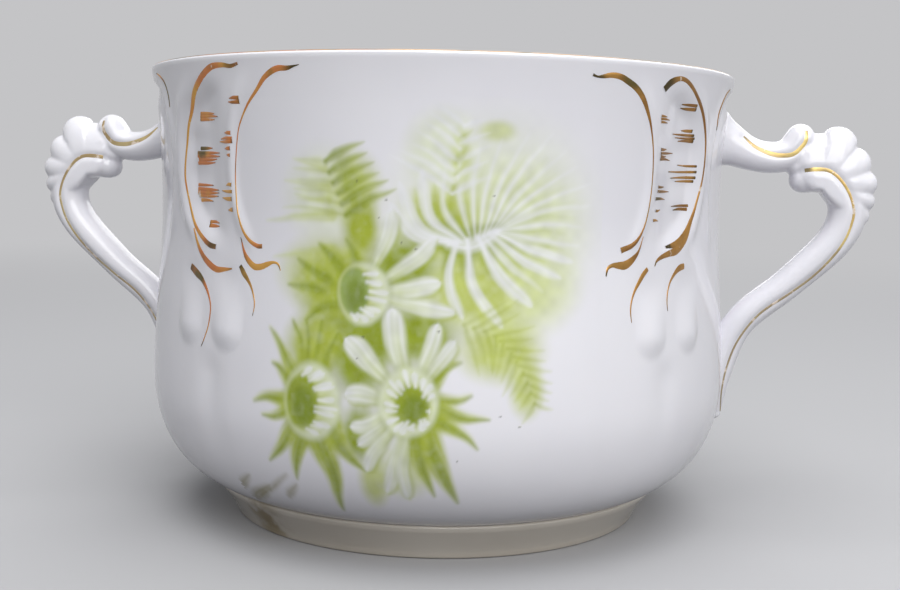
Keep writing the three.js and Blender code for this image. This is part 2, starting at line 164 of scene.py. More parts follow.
class Piece:
    """A mesh object in the making, and the steps that all pieces share. Points are in millimetres."""

    def __init__(self, name: str = "") -> None:
        """Take the object that was just added.

        Args:
            name: Name for it and its mesh; without one they stay as they are.
        """
        self.object: Object = bpy.context.object
        if name:
            self.object.name = name
            self.object.data.name = name

    def vectors(self, kind: str) -> Array:
        """One kind of vector of every vertex.

        Args:
            kind: "co" for the places or "normal" for the normals.

        Returns:
            One row for each vertex.
        """
        flat = np.empty(3 * len(self.object.data.vertices))
        self.object.data.vertices.foreach_get(kind, flat)
        return flat.reshape(-1, 3)

    def points(self) -> Array:
        """Places of the vertices, one row each."""
        return self.vectors("co") / MM

    def place(self, points: Array) -> None:
        """Move the vertices to the given rows."""
        self.object.data.vertices.foreach_set("co", (points * MM).ravel())
        self.object.data.update()

    def pick(self) -> None:
        """Select the piece alone and make it active."""
        deselect()
        self.object.select_set(True)
        bpy.context.view_layer.objects.active = self.object

    @contextmanager
    def editing(self) -> Iterator[None]:
        """Edit mode, with the whole mesh selected.

        Returns:
            A context to work in.
        """
        self.pick()
        bpy.ops.object.mode_set(mode="EDIT")
        bpy.ops.mesh.select_all(action="SELECT")
        yield
        bpy.ops.object.mode_set(mode="OBJECT")

    def close(self) -> None:
        """Merge doubled vertices and turn all faces outwards."""
        with self.editing():
            bpy.ops.mesh.remove_doubles(threshold=WELD * MM)
            bpy.ops.mesh.normals_make_consistent(inside=False)

    def modify(self, kind: str, **settings: object) -> None:
        """Add one modifier and apply it.

        Args:
            kind: Blender's name of the modifier's type.
            **settings: Its settings.
        """
        self.pick()
        modifier = self.object.modifiers.new(kind.lower(), kind)
        for name, value in settings.items():
            setattr(modifier, name, value)
        bpy.ops.object.modifier_apply(modifier=modifier.name)

    @classmethod
    def joined(cls, pieces: Sequence["Piece"], name: str) -> "Piece":
        """Join several pieces into one.

        Args:
            pieces: The pieces.
            name: Name of the joined one.

        Returns:
            The joined piece.
        """
        pieces[0].pick()
        for piece in pieces:
            piece.object.select_set(True)
        bpy.ops.object.join()
        return cls(name)

    @classmethod
    def revolved(cls, name: str, profile: Sequence[Sequence[float]], steps: int) -> "Piece":
        """Draw a profile by extruding a point, and spin it round the cup's axis.

        Args:
            name: Name of the piece.
            profile: Rows of radius and height.
            steps: Steps of the full turn.

        Returns:
            The closed piece.
        """
        deselect()
        bpy.ops.mesh.primitive_plane_add(size=MM)
        piece = cls(name)
        rows = [Vector((radius * MM, 0, height * MM)) for radius, height in profile]
        with piece.editing():
            bpy.ops.mesh.merge(type="CENTER")
            bpy.ops.transform.translate(value=rows[0])
            for before, after in zip(rows, rows[1:]):
                bpy.ops.mesh.extrude_region_move(TRANSFORM_OT_translate={"value": after - before})
            bpy.ops.mesh.select_all(action="SELECT")
            bpy.ops.mesh.spin(steps=steps, angle=2 * math.pi, center=(0, 0, 0), axis=(0, 0, 1))
        piece.close()
        return piece

    def half_turned(self, name: str) -> "Piece":
        """Copy the piece with a mesh of its own, half a turn round the cup's axis.

        Args:
            name: Name of the copy.

        Returns:
            The copy.
        """
        self.pick()
        bpy.ops.object.duplicate()
        copy = Piece(name)
        copy.object.rotation_euler = (0, 0, math.pi)
        bpy.ops.object.transform_apply()
        return copy

    def finish(self, material: Material, slot: Slot, *nodes: str) -> None:
        """Shade the piece, give it its finish and tie it to the frame.

        Args:
            material: Its finish.
            slot: The record's material slot; not used.
            *nodes: CAD nodes that it stands for.
        """
        self.pick()
        bpy.ops.object.shade_smooth()
        piece = self.object
        piece.data.materials.clear()
        piece.data.materials.append(material)
        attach(piece, BODY)
        if nodes:
            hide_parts(*nodes)
        LOG.info("%s: %d faces", piece.name, len(piece.data.polygons))


@dataclass(frozen=True)
class Patches:
    """Cloudy spots: their number to the metre, their octaves, and the noise where they start and are full."""

    scale: float
    detail: float
    start: float
    full: float


class Tree:
    """A node tree and the steps that the finishes and the stage share."""

    def __init__(self, tree: bpy.types.NodeTree) -> None:
        """Work on the given tree."""
        self.tree = tree

    def feed(self, socket: Socket, value: object) -> None:
        """Link an input to a socket, or set its value.

        Args:
            socket: The input.
            value: A socket or a value.
        """
        if isinstance(value, Socket):
            self.tree.links.new(value, socket)
        else:
            socket.default_value = value

    def node(self, kind: str, **inputs: object) -> Node:
        """Add a node and feed its inputs.

        Args:
            kind: Type of the node.
            **inputs: Values or sockets by input name, with underscores for spaces.

        Returns:
            The node.
        """
        made = self.tree.nodes.new(kind)
        for name, value in inputs.items():
            self.feed(made.inputs[name.replace("_", " ")], value)
        return made

    def math(self, operation: str, first: object, second: object) -> Socket:
        """Combine two values.

        Args:
            operation: Name of the operation.
            first: First value or socket.
            second: Second value or socket.

        Returns:
            The result.
        """
        made = self.tree.nodes.new("ShaderNodeMath")
        made.operation = operation
        self.feed(made.inputs[0], first)
        self.feed(made.inputs[1], second)
        return made.outputs["Value"]

    def seen(self) -> Socket:
        """1 for what the camera sees, straight, in a reflection or through glass, and 0 for lighting.

        Returns:
            The share.
        """
        rays = self.tree.nodes.new("ShaderNodeLightPath").outputs
        mirrored = self.math("MAXIMUM", rays["Is Camera Ray"], rays["Is Glossy Ray"])
        return self.math("MAXIMUM", mirrored, rays["Is Transmission Ray"])

    def blend(self, share: Socket, first: Node, second: Node, output: Node) -> None:
        """Show a blend of two shaders.

        Args:
            share: Share of the second one.
            first: First shader's node.
            second: Second shader's node.
            output: The tree's output.
        """
        made = self.node("ShaderNodeMixShader", Fac=share)
        self.feed(made.inputs[1], first.outputs[0])
        self.feed(made.inputs[2], second.outputs[0])
        self.feed(output.inputs["Surface"], made.outputs[0])


class Shader(Tree):
    """A material's node tree, read in object coordinates."""

    def __init__(self, name: str) -> None:
        """Start an empty material.

        Args:
            name: Its name.
        """
        self.material = bpy.data.materials.new(name)
        self.material.use_nodes = True
        super().__init__(self.material.node_tree)
        self.tree.nodes.clear()
        self.output = self.tree.nodes.new("ShaderNodeOutputMaterial")
        self.place = self.tree.nodes.new("ShaderNodeTexCoord").outputs["Object"]

    def axis(self, name: str) -> Socket:
        """One coordinate of the place, X, Y or Z."""
        return self.node("ShaderNodeSeparateXYZ", Vector=self.place).outputs[name]

    def away(self, place: Triple) -> Socket:
        """Distance from a place.

        Args:
            place: The place in millimetres.

        Returns:
            The distance in metres.
        """
        made = self.node("ShaderNodeVectorMath", Vector=self.place)
        made.operation = "DISTANCE"
        made.inputs[1].default_value = [along * MM for along in place]
        return made.outputs["Value"]

    def attribute(self, name: str) -> Node:
        """Read an attribute of the mesh.

        Args:
            name: Its name.

        Returns:
            The node that reads it.
        """
        made = self.tree.nodes.new("ShaderNodeAttribute")
        made.attribute_name = name
        return made

    def noise(self, scale: float, detail: float = 3.0) -> Socket:
        """Cloudy value from 0 to 1, with so many clouds to the metre and so many octaves."""
        return self.node("ShaderNodeTexNoise", Vector=self.place, Scale=scale, Detail=detail).outputs["Fac"]

    def band(self, value: Socket, low: float, high: float) -> Socket:
        """Smooth rise of a value.

        Args:
            value: The value.
            low: Where the rise starts, at 0.
            high: Where it ends, at 1.

        Returns:
            The share.
        """
        made = self.node("ShaderNodeMapRange", Value=value, From_Min=low, From_Max=high)
        made.interpolation_type = "SMOOTHSTEP"
        return made.outputs["Result"]

    def patches(self, patches: Patches) -> Socket:
        """1 inside cloudy spots and 0 between them."""
        return self.band(self.noise(patches.scale, patches.detail), patches.start, patches.full)

    def between(self, share: Socket, low: float, high: float) -> Socket:
        """Value that runs from low to high as a share runs from 0 to 1."""
        return self.node("ShaderNodeMapRange", Value=share, To_Min=low, To_Max=high).outputs["Result"]

    def mix(self, share: object, first: object, second: object) -> Socket:
        """Mix two colours.

        Args:
            share: Share of the second colour.
            first: First colour.
            second: Second colour.

        Returns:
            The mixed colour.
        """
        made = self.tree.nodes.new("ShaderNodeMix")
        made.data_type = "RGBA"
        for index, value in ((0, share), (6, first), (7, second)):
            self.feed(made.inputs[index], value)
        return made.outputs[2]

    def bump(self, height: Socket, depth: float, strength: float = 1.0) -> Socket:
        """Normal tilted by a height from 0 to 1, whose full step is depth millimetres."""
        made = self.node("ShaderNodeBump", Height=height, Strength=strength, Distance=depth * MM)
        return made.outputs["Normal"]

    def surface(self, **inputs: object) -> Material:
        """Close the tree with one principled surface.

        Args:
            **inputs: Its inputs by name, with underscores for spaces.

        Returns:
            The material.
        """
        made = self.node("ShaderNodeBsdfPrincipled", **inputs)
        self.feed(self.output.inputs["Surface"], made.outputs["BSDF"])
        return self.material


@dataclass(frozen=True)
class Glaze:
    """Clear glaze over hard porcelain: cool white, faintly clouded, with a few iron specks."""

    name: str = "porcelain_glaze"
    light: Colour = linear(236, 235, 240)
    shade: Colour = linear(229, 228, 234)
    speck: Colour = linear(120, 108, 92)
    clouds: Patches = Patches(28.0, 3.0, 0.3, 0.7)
    speck_scale: float = 95.0
    speck_edge: Pair = (0.034, 0.012)
    speck_pick: Pair = (0.86, 0.88)
    ripple_scale: float = 170.0
    ripple_depth: float = 0.03
    sheen_scale: float = 60.0
    roughness: Pair = (0.07, 0.13)
    glow_depth: float = 0.8

    def ground(self, shader: Shader) -> Socket:
        """Colour of the bare glaze, clouds and specks included.

        Args:
            shader: Tree to build it in.

        Returns:
            The colour.
        """
        pale = shader.mix(shader.patches(self.clouds), self.shade, self.light)
        cells = shader.node("ShaderNodeTexVoronoi", Vector=shader.place, Scale=self.speck_scale)
        spots = shader.band(cells.outputs["Distance"], *self.speck_edge)
        picked = shader.band(cells.outputs["Color"], *self.speck_pick)
        return shader.mix(shader.math("MULTIPLY", spots, picked), pale, self.speck)

    def coat(self, shader: Shader, colour: Socket) -> Material:
        """Glassy surface over a colour.

        Args:
            shader: Tree to build it in.
            colour: Colour under the glaze.

        Returns:
            The material.
        """
        return shader.surface(
            Base_Color=colour,
            Roughness=shader.between(shader.noise(self.sheen_scale), *self.roughness),
            Normal=shader.bump(shader.noise(self.ripple_scale, detail=2.0), self.ripple_depth),
            IOR=1.5,
            Subsurface_Weight=0.08,
            Subsurface_Radius=(1.0, 0.9, 0.8),
            Subsurface_Scale=self.glow_depth * MM,
            Coat_Weight=0.12,
            Coat_Roughness=0.05,
        )

    def material(self) -> Material:
        """The plain glaze."""
        shader = Shader(self.name)
        return self.coat(shader, self.ground(shader))


@dataclass(frozen=True)
class PrintedGlaze(Glaze):
    """The same glaze over a print, whose colour and cover the mesh holds as an attribute."""

    name: str = "printed_glaze"
    grain_scale: float = 900.0
    grain: Pair = (0.92, 1.06)

    def material(self) -> Material:
        """The glaze with the print under it.

        Returns:
            The material.
        """
        shader = Shader(self.name)
        paint = shader.attribute(SPRAY).outputs
        grain = shader.between(shader.noise(self.grain_scale, detail=2.0), *self.grain)
        cover = shader.math("MULTIPLY", paint["Alpha"], grain)
        return self.coat(shader, shader.mix(cover, self.ground(shader), paint["Color"]))


@dataclass(frozen=True)
class FootGlaze(Glaze):
    """Thinner glaze of the foot ring: creamier, darker as painted shade, greyer towards its bare standing
    edge, with a stain.
    """

    name: str = "foot_glaze"
    # painted shade: these tones are darker than the bowl's glaze to stand in for shade under the belly; their
    # cream tint is the foot's own
    light: Colour = linear(210, 203, 192)
    shade: Colour = linear(196, 188, 176)
    worn: Colour = linear(176, 166, 152)
    worn_height: float = 1.6
    worn_share: float = 0.5
    stain: Colour = linear(134, 114, 64)
    stain_place: Triple = (-20.5, -26.0, 3.2)
    stain_size: float = 7.0
    stain_patches: Patches = Patches(260.0, 5.0, 0.4, 0.62)

    def material(self) -> Material:
        """The foot's glaze with its wear.

        Returns:
            The material.
        """
        shader = Shader(self.name)
        near = shader.band(shader.away(self.stain_place), self.stain_size * MM, 0.0)
        stained = shader.math("MULTIPLY", near, shader.patches(self.stain_patches))
        edge = shader.band(shader.axis("Z"), self.worn_height * MM, 0.0)
        worn = shader.math("MULTIPLY", edge, self.worn_share)
        colour = shader.mix(worn, self.ground(shader), self.worn)
        return self.coat(shader, shader.mix(stained, colour, self.stain))


@dataclass(frozen=True)
class Gilding:
    """Fired and brushed gold, rubbed thin in places, with a painted reflection: redder on the cup's left,
    browner on its right.
    """

    name: str = "worn_gilding"
    bright: Colour = linear(214, 162, 82)
    copper: Colour = linear(204, 128, 76)
    brown: Colour = linear(146, 104, 54)
    dim: Colour = linear(180, 134, 68)
    olive: Colour = linear(104, 90, 48)
    pooled: Colour = linear(78, 66, 36)
    bare: Colour = linear(224, 208, 190)
    # width over which the painted reflection turns from the redder left to the browner right
    turn_over: float = 15.0
    # cloudy tone patches: partly the gold's own uneven tone, partly painted glints and dark reflections
    tones: Patches = Patches(170.0, 4.0, 0.4, 0.6)
    dull_and_reflection_spots: Patches = Patches(135.0, 3.0, 0.55, 0.69)
    pool_spots: Patches = Patches(220.0, 2.0, 0.4, 0.55)
    rubbed_spots: Patches = Patches(640.0, 5.0, 0.66, 0.72)
    metal: float = 0.62
    rough_scale: float = 400.0
    roughness: Pair = (0.22, 0.42)
    grain_scale: float = 1500.0
    grain_depth: float = 0.02
    grain_strength: float = 0.6

    def tone(self, shader: Shader) -> Socket:
        """Colour of the gold where it isn't rubbed, with painted reflections in it.

        Args:
            shader: Tree to build it in.

        Returns:
            The colour.
        """
        # painted reflection: redder gold on the cup's left (-X), browner on its right
        right = shader.band(shader.axis("X"), -self.turn_over * MM, self.turn_over * MM)
        high = shader.mix(right, self.bright, self.dim)
        low = shader.mix(right, self.copper, self.brown)
        # partly the gold's own uneven tone, partly painted glints and painted dark reflections
        warm = shader.mix(shader.patches(self.tones), low, high)
        dull_and_reflected = shader.mix(shader.patches(self.dull_and_reflection_spots), warm, self.olive)
        pool = shader.attribute(POOL).outputs["Fac"]
        thick = shader.math("MULTIPLY", pool, shader.patches(self.pool_spots))
        return shader.mix(thick, dull_and_reflected, self.pooled)

    def material(self) -> Material:
        """The gold with its tones and worn spots.

        Returns:
            The material.
        """
        shader = Shader(self.name)
        wear_and_shade = shader.patches(self.rubbed_spots)
        grain = shader.noise(self.grain_scale)
        return shader.surface(
            Base_Color=shader.mix(wear_and_shade, self.tone(shader), self.bare),
            Metallic=shader.between(wear_and_shade, self.metal, 0.0),
            Roughness=shader.between(shader.noise(self.rough_scale), *self.roughness),
            Normal=shader.bump(grain, self.grain_depth, self.grain_strength),
        )


@dataclass(frozen=True)
class HandleGilding(Gilding):
    """Paler gold of the handles' lines, rubbed more, and grey as painted shade on the lower arm and on the
    left handle.
    """

    name: str = "handle_gilding"
    bright: Colour = linear(234, 208, 134)
    copper: Colour = linear(206, 170, 98)
    brown: Colour = linear(200, 168, 104)
    dim: Colour = linear(234, 208, 134)
    olive: Colour = linear(158, 140, 104)
    pooled: Colour = linear(150, 134, 96)
    # painted shade: grey laid over the gold low on the handle and on the left handle
    grey: Colour = linear(160, 148, 128)
    grey_below: Pair = (47.0, 37.0)
    grey_left_of: Pair = (0.0, -5.0)
    low_share: float = 0.75
    left_share: float = 0.55
    rubbed_spots: Patches = Patches(640.0, 5.0, 0.6, 0.66)

    def tone(self, shader: Shader) -> Socket:
        """Colour of the gold, greyer below and on the left handle as painted shade.

        Args:
            shader: Tree to build it in.

        Returns:
            The colour.
        """
        # painted shade: the gold turns grey towards the lower arm and on the left handle
        low = shader.band(shader.axis("Z"), *(level * MM for level in self.grey_below))
        left = shader.band(shader.axis("X"), *(level * MM for level in self.grey_left_of))
        lower = shader.math("MULTIPLY", low, self.low_share)
        wear_and_shade = shader.math("MAXIMUM", lower, shader.math("MULTIPLY", left, self.left_share))
        return shader.mix(wear_and_shade, super().tone(shader), self.grey)


@dataclass(frozen=True)
class ScrollArc:
    """C-scroll on a column: one half of a superellipse. Angles in degrees, drops from the rim.

    It bulges from its root towards its crest, to either side.
    """

    root: float
    crest: float
    top: float = 2.2
    bottom: float = 26.4
    squareness: float = 2.5

    def run(self, across: Array) -> Array:
        """Share of the way from the root to the crest, 0 behind the root."""
        return np.maximum((across - self.root) / (self.crest - self.root), 0)

    def distance(self, across: Array, drop: Array) -> Array:
        """Distance to the scroll's line in millimetres, negative inside it.

        Args:
            across: Angles from the panel's middle.
            drop: Drops from the rim.

        Returns:
            Signed distances.
        """
        power = self.squareness
        half = (self.bottom - self.top) / 2
        reach = DEGREE * abs(self.crest - self.root)
        run = self.run(across)
        fall = np.abs(drop - self.top - half) / half
        level = run**power + fall**power - 1
        slope = power * np.hypot(run ** (power - 1) / reach, fall ** (power - 1) / half)
        return level / np.maximum(slope, 1 / half)


@dataclass(frozen=True)
class Mould:
    """Relief of the corner columns, alike on all four corners of the mould.

    Its methods take angles from the panel's middle (across) and drops from the rim (drop).
    """

    turn: float = 8.5
    column: Pair = (22.0, 78.0)
    front_scroll: ScrollArc = ScrollArc(24.5, 39.5)
    side_scroll: ScrollArc = ScrollArc(39.0, 57.5)
    panel_scroll: ScrollArc = ScrollArc(76.0, 61.5)
    ridge: float = 0.36
    ridge_width: float = 1.0
    ridge_offset: float = 0.5
    ridge_start: Pair = (0.6, 0.97)
    flute_edge: float = 40.4
    flute_depth: float = 0.95
    flute_shoulders: Pair = (6.0, 4.0)
    rib_depth: float = 0.14
    rib_pitch: float = 4.6
    rib_start: Pair = (45.0, 50.0)
    hollow_depth: float = 0.6
    hollow_widths: Pair = (1.0, 5.5)
    hollow_drops: Pair = (8.0, 15.0)
    tongues: Pair = (41.0, 52.8)
    tongue_drops: Pair = (28.0, 39.8)
    tongue_half_width: float = 3.5
    tongue_rise: float = 0.62
    tongue_fullness: float = 1.4
    tongue_scoop: float = 0.4
    crease: float = 45.0
    crease_depth: float = 0.3
    crease_width: float = 2.4
    crease_drops: Triple = (39.0, 43.0, 57.0)
    lobe_depth: float = 0.85
    lobe_drops: Pair = (2.2, 26.0)
    lobe_heights: Pair = (0.0, 12.0)
    plain_lip: float = 0.5

    def across(self, bearing: Array) -> Array:
        """Angle from the middle of the nearest large panel, 0 to 90 degrees."""
        turned = np.radians(np.asarray(bearing, float) - self.turn)
        return np.degrees(np.arctan2(np.abs(np.sin(turned)), np.abs(np.cos(turned))))

    def scroll_rise(self, scroll: ScrollArc, across: Array, drop: Array) -> Array:
        """Raised moulding that runs outside a scroll's line, where the line stands upright."""
        from_line = (scroll.distance(across, drop) - self.ridge_offset) / self.ridge_width
        return self.ridge * soft_step(scroll.run(across), *self.ridge_start) * np.exp(-from_line * from_line)

    def flute(self, across: Array, drop: Array) -> Array:
        """Hollow between the column's straight edge and its side scroll, with soft cross ribs.

        Args:
            across: Angles from the panel's middle.
            drop: Drops from the rim.

        Returns:
            Depths in millimetres.
        """
        edge, side = self.flute_shoulders
        from_edge = DEGREE * (across - self.flute_edge)
        from_scroll = -self.side_scroll.distance(across, drop)
        hollow = soft_step(from_edge, 0, edge) * soft_step(from_scroll, 0, side)
        ribs = 0.5 + 0.5 * np.cos(2 * np.pi * drop / self.rib_pitch)
        return self.flute_depth * hollow - self.rib_depth * ribs * hollow * soft_step(across, *self.rib_start)

    def panel_hollow(self, across: Array, drop: Array) -> Array:
        """Crescent hollow inside the scroll that ends a side panel, in its upper half.

        Args:
            across: Angles from the panel's middle.
            drop: Drops from the rim.

        Returns:
            Depths in millimetres.
        """
        steep, wide = self.hollow_widths
        inside = -self.panel_scroll.distance(across, drop)
        dip = soft_step(inside, 0, steep) * (1 - soft_step(inside, steep, wide))
        return self.hollow_depth * dip * (1 - soft_step(drop, *self.hollow_drops))

    def tongue(self, middle: float, across: Array, drop: Array) -> Array:
        """Tongue under the flute: scooped at the top, swelling to a rounded end.

        Args:
            middle: Angle of its middle.
            across: Angles from the panel's middle.
            drop: Drops from the rim.

        Returns:
            Rises in millimetres, negative in the scoop.
        """
        top, bottom = self.tongue_drops
        half, scoop = self.tongue_half_width, self.tongue_scoop
        sideways = DEGREE * (across - middle)
        below = np.maximum(drop - bottom + half, 0)
        body = np.maximum(1 - np.hypot(sideways, below) ** 2 / half**2, 0) ** self.tongue_fullness
        along = soft_step(drop, top, bottom - half / 2)
        started = soft_step(drop, self.side_scroll.bottom, top + half)
        return self.tongue_rise * body * started * ((1 + scoop) * along - scoop)

    def belly_crease(self, across: Array, drop: Array) -> Array:
        """Soft crease that runs from the tongues down the belly and fades out.

        Args:
            across: Angles from the panel's middle.
            drop: Drops from the rim.

        Returns:
            Depths in millimetres.
        """
        top, deepest, end = self.crease_drops
        sideways = DEGREE * (across - self.crease) / self.crease_width
        along = soft_step(drop, top, deepest) * (1 - soft_step(drop, deepest, end))
        return self.crease_depth * along * np.exp(-sideways * sideways)

    def lobes(self, across: Array, drop: Array, height: Array) -> Array:
        """Soft valley that parts the plain panels, fading towards the rim and the foot."""
        fade = soft_step(drop, *self.lobe_drops) * soft_step(height, *self.lobe_heights)
        return self.lobe_depth * fade * (1 - np.cos(4 * np.radians(across))) / 2

    def rise(self, bearing: Array, drop: Array, height: Array) -> Array:
        """Height of the whole relief above the plain wall.

        Args:
            bearing: Bearings in degrees.
            drop: Drops from the rim.
            height: Heights above the foot ring.

        Returns:
            Rises in millimetres, negative where the wall is hollowed.
        """
        across = self.across(bearing)
        rise = -self.lobes(across, drop, height)
        for hollow in (self.flute, self.panel_hollow, self.belly_crease):
            rise = rise - hollow(across, drop)
        for scroll in (self.front_scroll, self.side_scroll, self.panel_scroll):
            rise = rise + self.scroll_rise(scroll, across, drop)
        for middle in self.tongues:
            rise = rise + self.tongue(middle, across, drop)
        return rise * soft_step(drop, self.plain_lip, self.side_scroll.top)


@dataclass
class Bowl:
    """Cast body of the cup, and the wall that the decoration follows. Its rim is a hair inside the CAD's."""

    height: float
    lip_height: float
    foot_height: float
    mould: Mould = field(default_factory=Mould)
    rim: float = 45.19
    waist_inset: float = 1.5
    waist_height: float = 48.0
    belly_inset: float = 0.2
    belly_height: float = 22.0
    tuck: float = 28.0
    tuck_roundness: float = 2.25
    flare: float = 3.0
    seat: float = 0.8
    wall: float = 2.4
    lip: float = 1.7
    lip_round: float = 0.44
    floor: float = 3.0
    turning_steps: int = 304
    column_steps: Pair = (0.12, 0.9)
    belly_rows: int = 12
    wall_rows: int = 42
    lip_rows: int = 12
    inner_rows: int = 15
    probe: float = 0.05
    margin: float = 0.01

    def belly(self, height: Array, bottom: float, widest: float) -> Array:
        """Radius of the rounded belly.

        Args:
            height: Heights from the resting plane.
            bottom: Height where the belly runs out flat.
            widest: Its greatest radius.

        Returns:
            Radii in millimetres.
        """
        share = np.clip((self.belly_height - height) / (self.belly_height - bottom), 0, 1)
        rise = (1 - share**self.tuck_roundness) ** (1 / self.tuck_roundness)
        return self.tuck + (widest - self.tuck) * rise

    def above(self, height: Array, start: float, end: float) -> Array:
        """Share of the way up from one height to another."""
        return np.clip((height - start) / (end - start), 0, 1)

    def radius(self, height: Array) -> Array:
        """Radius of the plain outer wall.

        Args:
            height: Heights from the resting plane.

        Returns:
            Radii in millimetres.
        """
        height = np.asarray(height, float)
        waist = self.rim - self.waist_inset
        widest = self.rim - self.belly_inset
        low = self.belly(height, self.foot_height - self.seat, widest)
        share = self.above(height, self.belly_height, self.waist_height)
        middle = widest + (waist - widest) * (1 - np.cos(np.pi * share)) / 2
        flared = waist + (self.rim - waist) * self.above(height, self.waist_height, self.height) ** self.flare
        upper = np.where(height < self.waist_height, middle, flared)
        return np.where(height < self.belly_height, low, upper)

    def inner_radius(self, height: Array) -> Array:
        """Radius of the smooth inner wall.

        Args:
            height: Heights from the resting plane.

        Returns:
            Radii in millimetres.
        """
        height = np.asarray(height, float)
        low = self.belly(height, self.foot_height + self.floor, self.rim - self.belly_inset - self.wall)
        thinner = (self.wall - self.lip) * self.above(height, self.belly_height, self.lip_height)
        return np.where(height < self.belly_height, low, self.radius(height) - self.wall + thinner)

    def moulded_radius(self, bearing: Array, height: Array) -> Array:
        """Radius of the outer wall with its relief."""
        return self.radius(height) + self.mould.rise(bearing, self.height - height, height - self.foot_height)

    def surface(self, bearing: Array, height: Array, lift: Array) -> Array:
        """Points on the moulded wall, raised along its normal.

        Args:
            bearing: Bearings in degrees.
            height: Heights in millimetres.
            lift: Distances off the wall in millimetres.

        Returns:
            One row for each point.
        """
        radius = self.moulded_radius(bearing, height)
        above = self.moulded_radius(bearing, height + self.probe)
        below = self.moulded_radius(bearing, height - self.probe)
        lean = np.arctan((above - below) / (2 * self.probe))
        return round_cup(bearing, radius + lift * np.cos(lean), height - lift * np.sin(lean))

    def beside(self, reach: float, height: float) -> Pair:
        """Radius and height at a reach from the plain wall."""
        return float(self.radius(height)) + reach, height

    def lip_point(self, turn: float, off: float = 0.0) -> Pair:
        """Radius and height on the rounded lip.

        Args:
            turn: Angle over the lip in radians, 0 outside and pi inside.
            off: Distance off its surface.

        Returns:
            Radius and height in millimetres.
        """
        half = self.lip / 2
        middle = float(self.radius(self.lip_height)) - half
        rise = (self.lip_round + off) * math.sin(turn)
        return middle + (half + off) * math.cos(turn), self.lip_height + rise

    def profile(self) -> list[Pair]:
        """Outline of the turned body, from its middle underneath over the lip to its inner floor.

        Returns:
            Rows of radius and height.
        """
        dip = np.cos(np.linspace(0, np.pi / 2, self.belly_rows, endpoint=False))
        low = self.belly_height + (self.foot_height - self.belly_height) * dip
        high = np.linspace(self.belly_height, self.lip_height, self.wall_rows + 1)
        outer = np.concatenate([low, high])
        lip = [self.lip_point(turn) for turn in np.linspace(0, np.pi, self.lip_rows)[1:-1]]
        floor = self.foot_height + self.floor
        rise = np.cos(np.linspace(0, np.pi / 2, self.inner_rows)) ** 2
        inner = floor + (self.lip_height - floor) * rise
        walls = [*zip(self.radius(outer), outer), *lip, *zip(self.inner_radius(inner), inner)]
        return [(0.0, self.foot_height), *walls, (0.0, floor)]

    def bearing(self, points: Array) -> Array:
        """Bearings of the turned body's points, drawn closer together over the columns.

        Args:
            points: Points of the evenly turned body.

        Returns:
            Bearings in degrees.
        """
        quarter = np.degrees(np.arctan2(points[:, 1], points[:, 0])) / 90
        within = np.interp(quarter % 1, (0, *self.column_steps, 1), (0, *self.mould.column, 90))
        return self.mould.turn + 90 * np.floor(quarter) + within

    def build(self, glaze: Material) -> None:
        """Spin the body, press the mould's relief into it and glaze it.

        Args:
            glaze: Its finish.
        """
        piece = Piece.revolved("porcelain_bowl", self.profile(), self.turning_steps)
        with piece.editing():
            bpy.ops.mesh.subdivide(number_cuts=1)
        points = piece.points()
        height = points[:, 2]
        radius = np.hypot(points[:, 0], points[:, 1])
        inner = self.inner_radius(height)
        bearing = self.bearing(points)
        outside = radius > (self.radius(height) + inner) / 2
        below_lip = height < self.lip_height - self.margin
        pressed = outside & below_lip & (height > self.foot_height + self.margin)
        lining = ~outside & below_lip & (height > self.foot_height + self.floor + self.margin)
        radius = np.where(pressed, self.moulded_radius(bearing, height), radius)
        radius = np.where(lining, inner, radius)
        piece.place(round_cup(bearing, radius, height))
        piece.close()
        piece.finish(glaze, Slot.PORCELAIN, "bowl")


@dataclass
class FootRing:
    """Standing ring luted under the bowl, wider at its top, where the joint laps a little over the belly."""

    bowl: Bowl
    base_radius: float = 31.6
    wall: float = 3.0
    spread: float = 0.7
    lap: float = 0.4
    edge: float = 0.5
    shoulder: float = 0.3
    bow: float = 1.15
    steps: int = 256
    bend_rows: int = 6
    wall_rows: int = 5
    seat_rows: int = 4

    def section(self) -> list[Pair]:
        """Outline of the ring, with a rounded standing edge and a rounded shoulder at the joint.

        Returns:
            Rows of radius and height.
        """
        edge, shoulder, joint = self.edge, self.shoulder, self.bowl.foot_height
        outer = self.base_radius + self.spread
        inner = self.base_radius - self.wall
        lapped = np.linspace(joint + self.lap, joint, self.seat_rows)
        seat = [*zip(self.bowl.radius(lapped), lapped)]
        crest = seat[0][0] + shoulder
        top = joint + self.lap - shoulder
        bend = np.linspace(0, np.pi / 2, self.bend_rows)
        outside = [(outer - edge + edge * np.sin(b), edge * (1 - np.cos(b))) for b in bend]
        inside = [(inner + edge * (1 - np.sin(b)), edge * (1 - np.cos(b))) for b in bend[::-1]]
        shares = np.linspace(1 / self.wall_rows, 1, self.wall_rows)
        wall = [(outer + (crest - outer) * s**self.bow, edge + (top - edge) * s) for s in shares]
        rounded = [(crest - shoulder * (1 - np.cos(b)), top + shoulder * np.sin(b)) for b in bend[1:]]
        return [*outside, *wall, *rounded, *seat[1:], (inner, joint), *inside, outside[0]]

    def build(self, glaze: Material) -> None:
        """Spin the ring's section and glaze it."""
        Piece.revolved("porcelain_foot", self.section(), self.steps).finish(glaze, Slot.FOOT, "foot_ring")


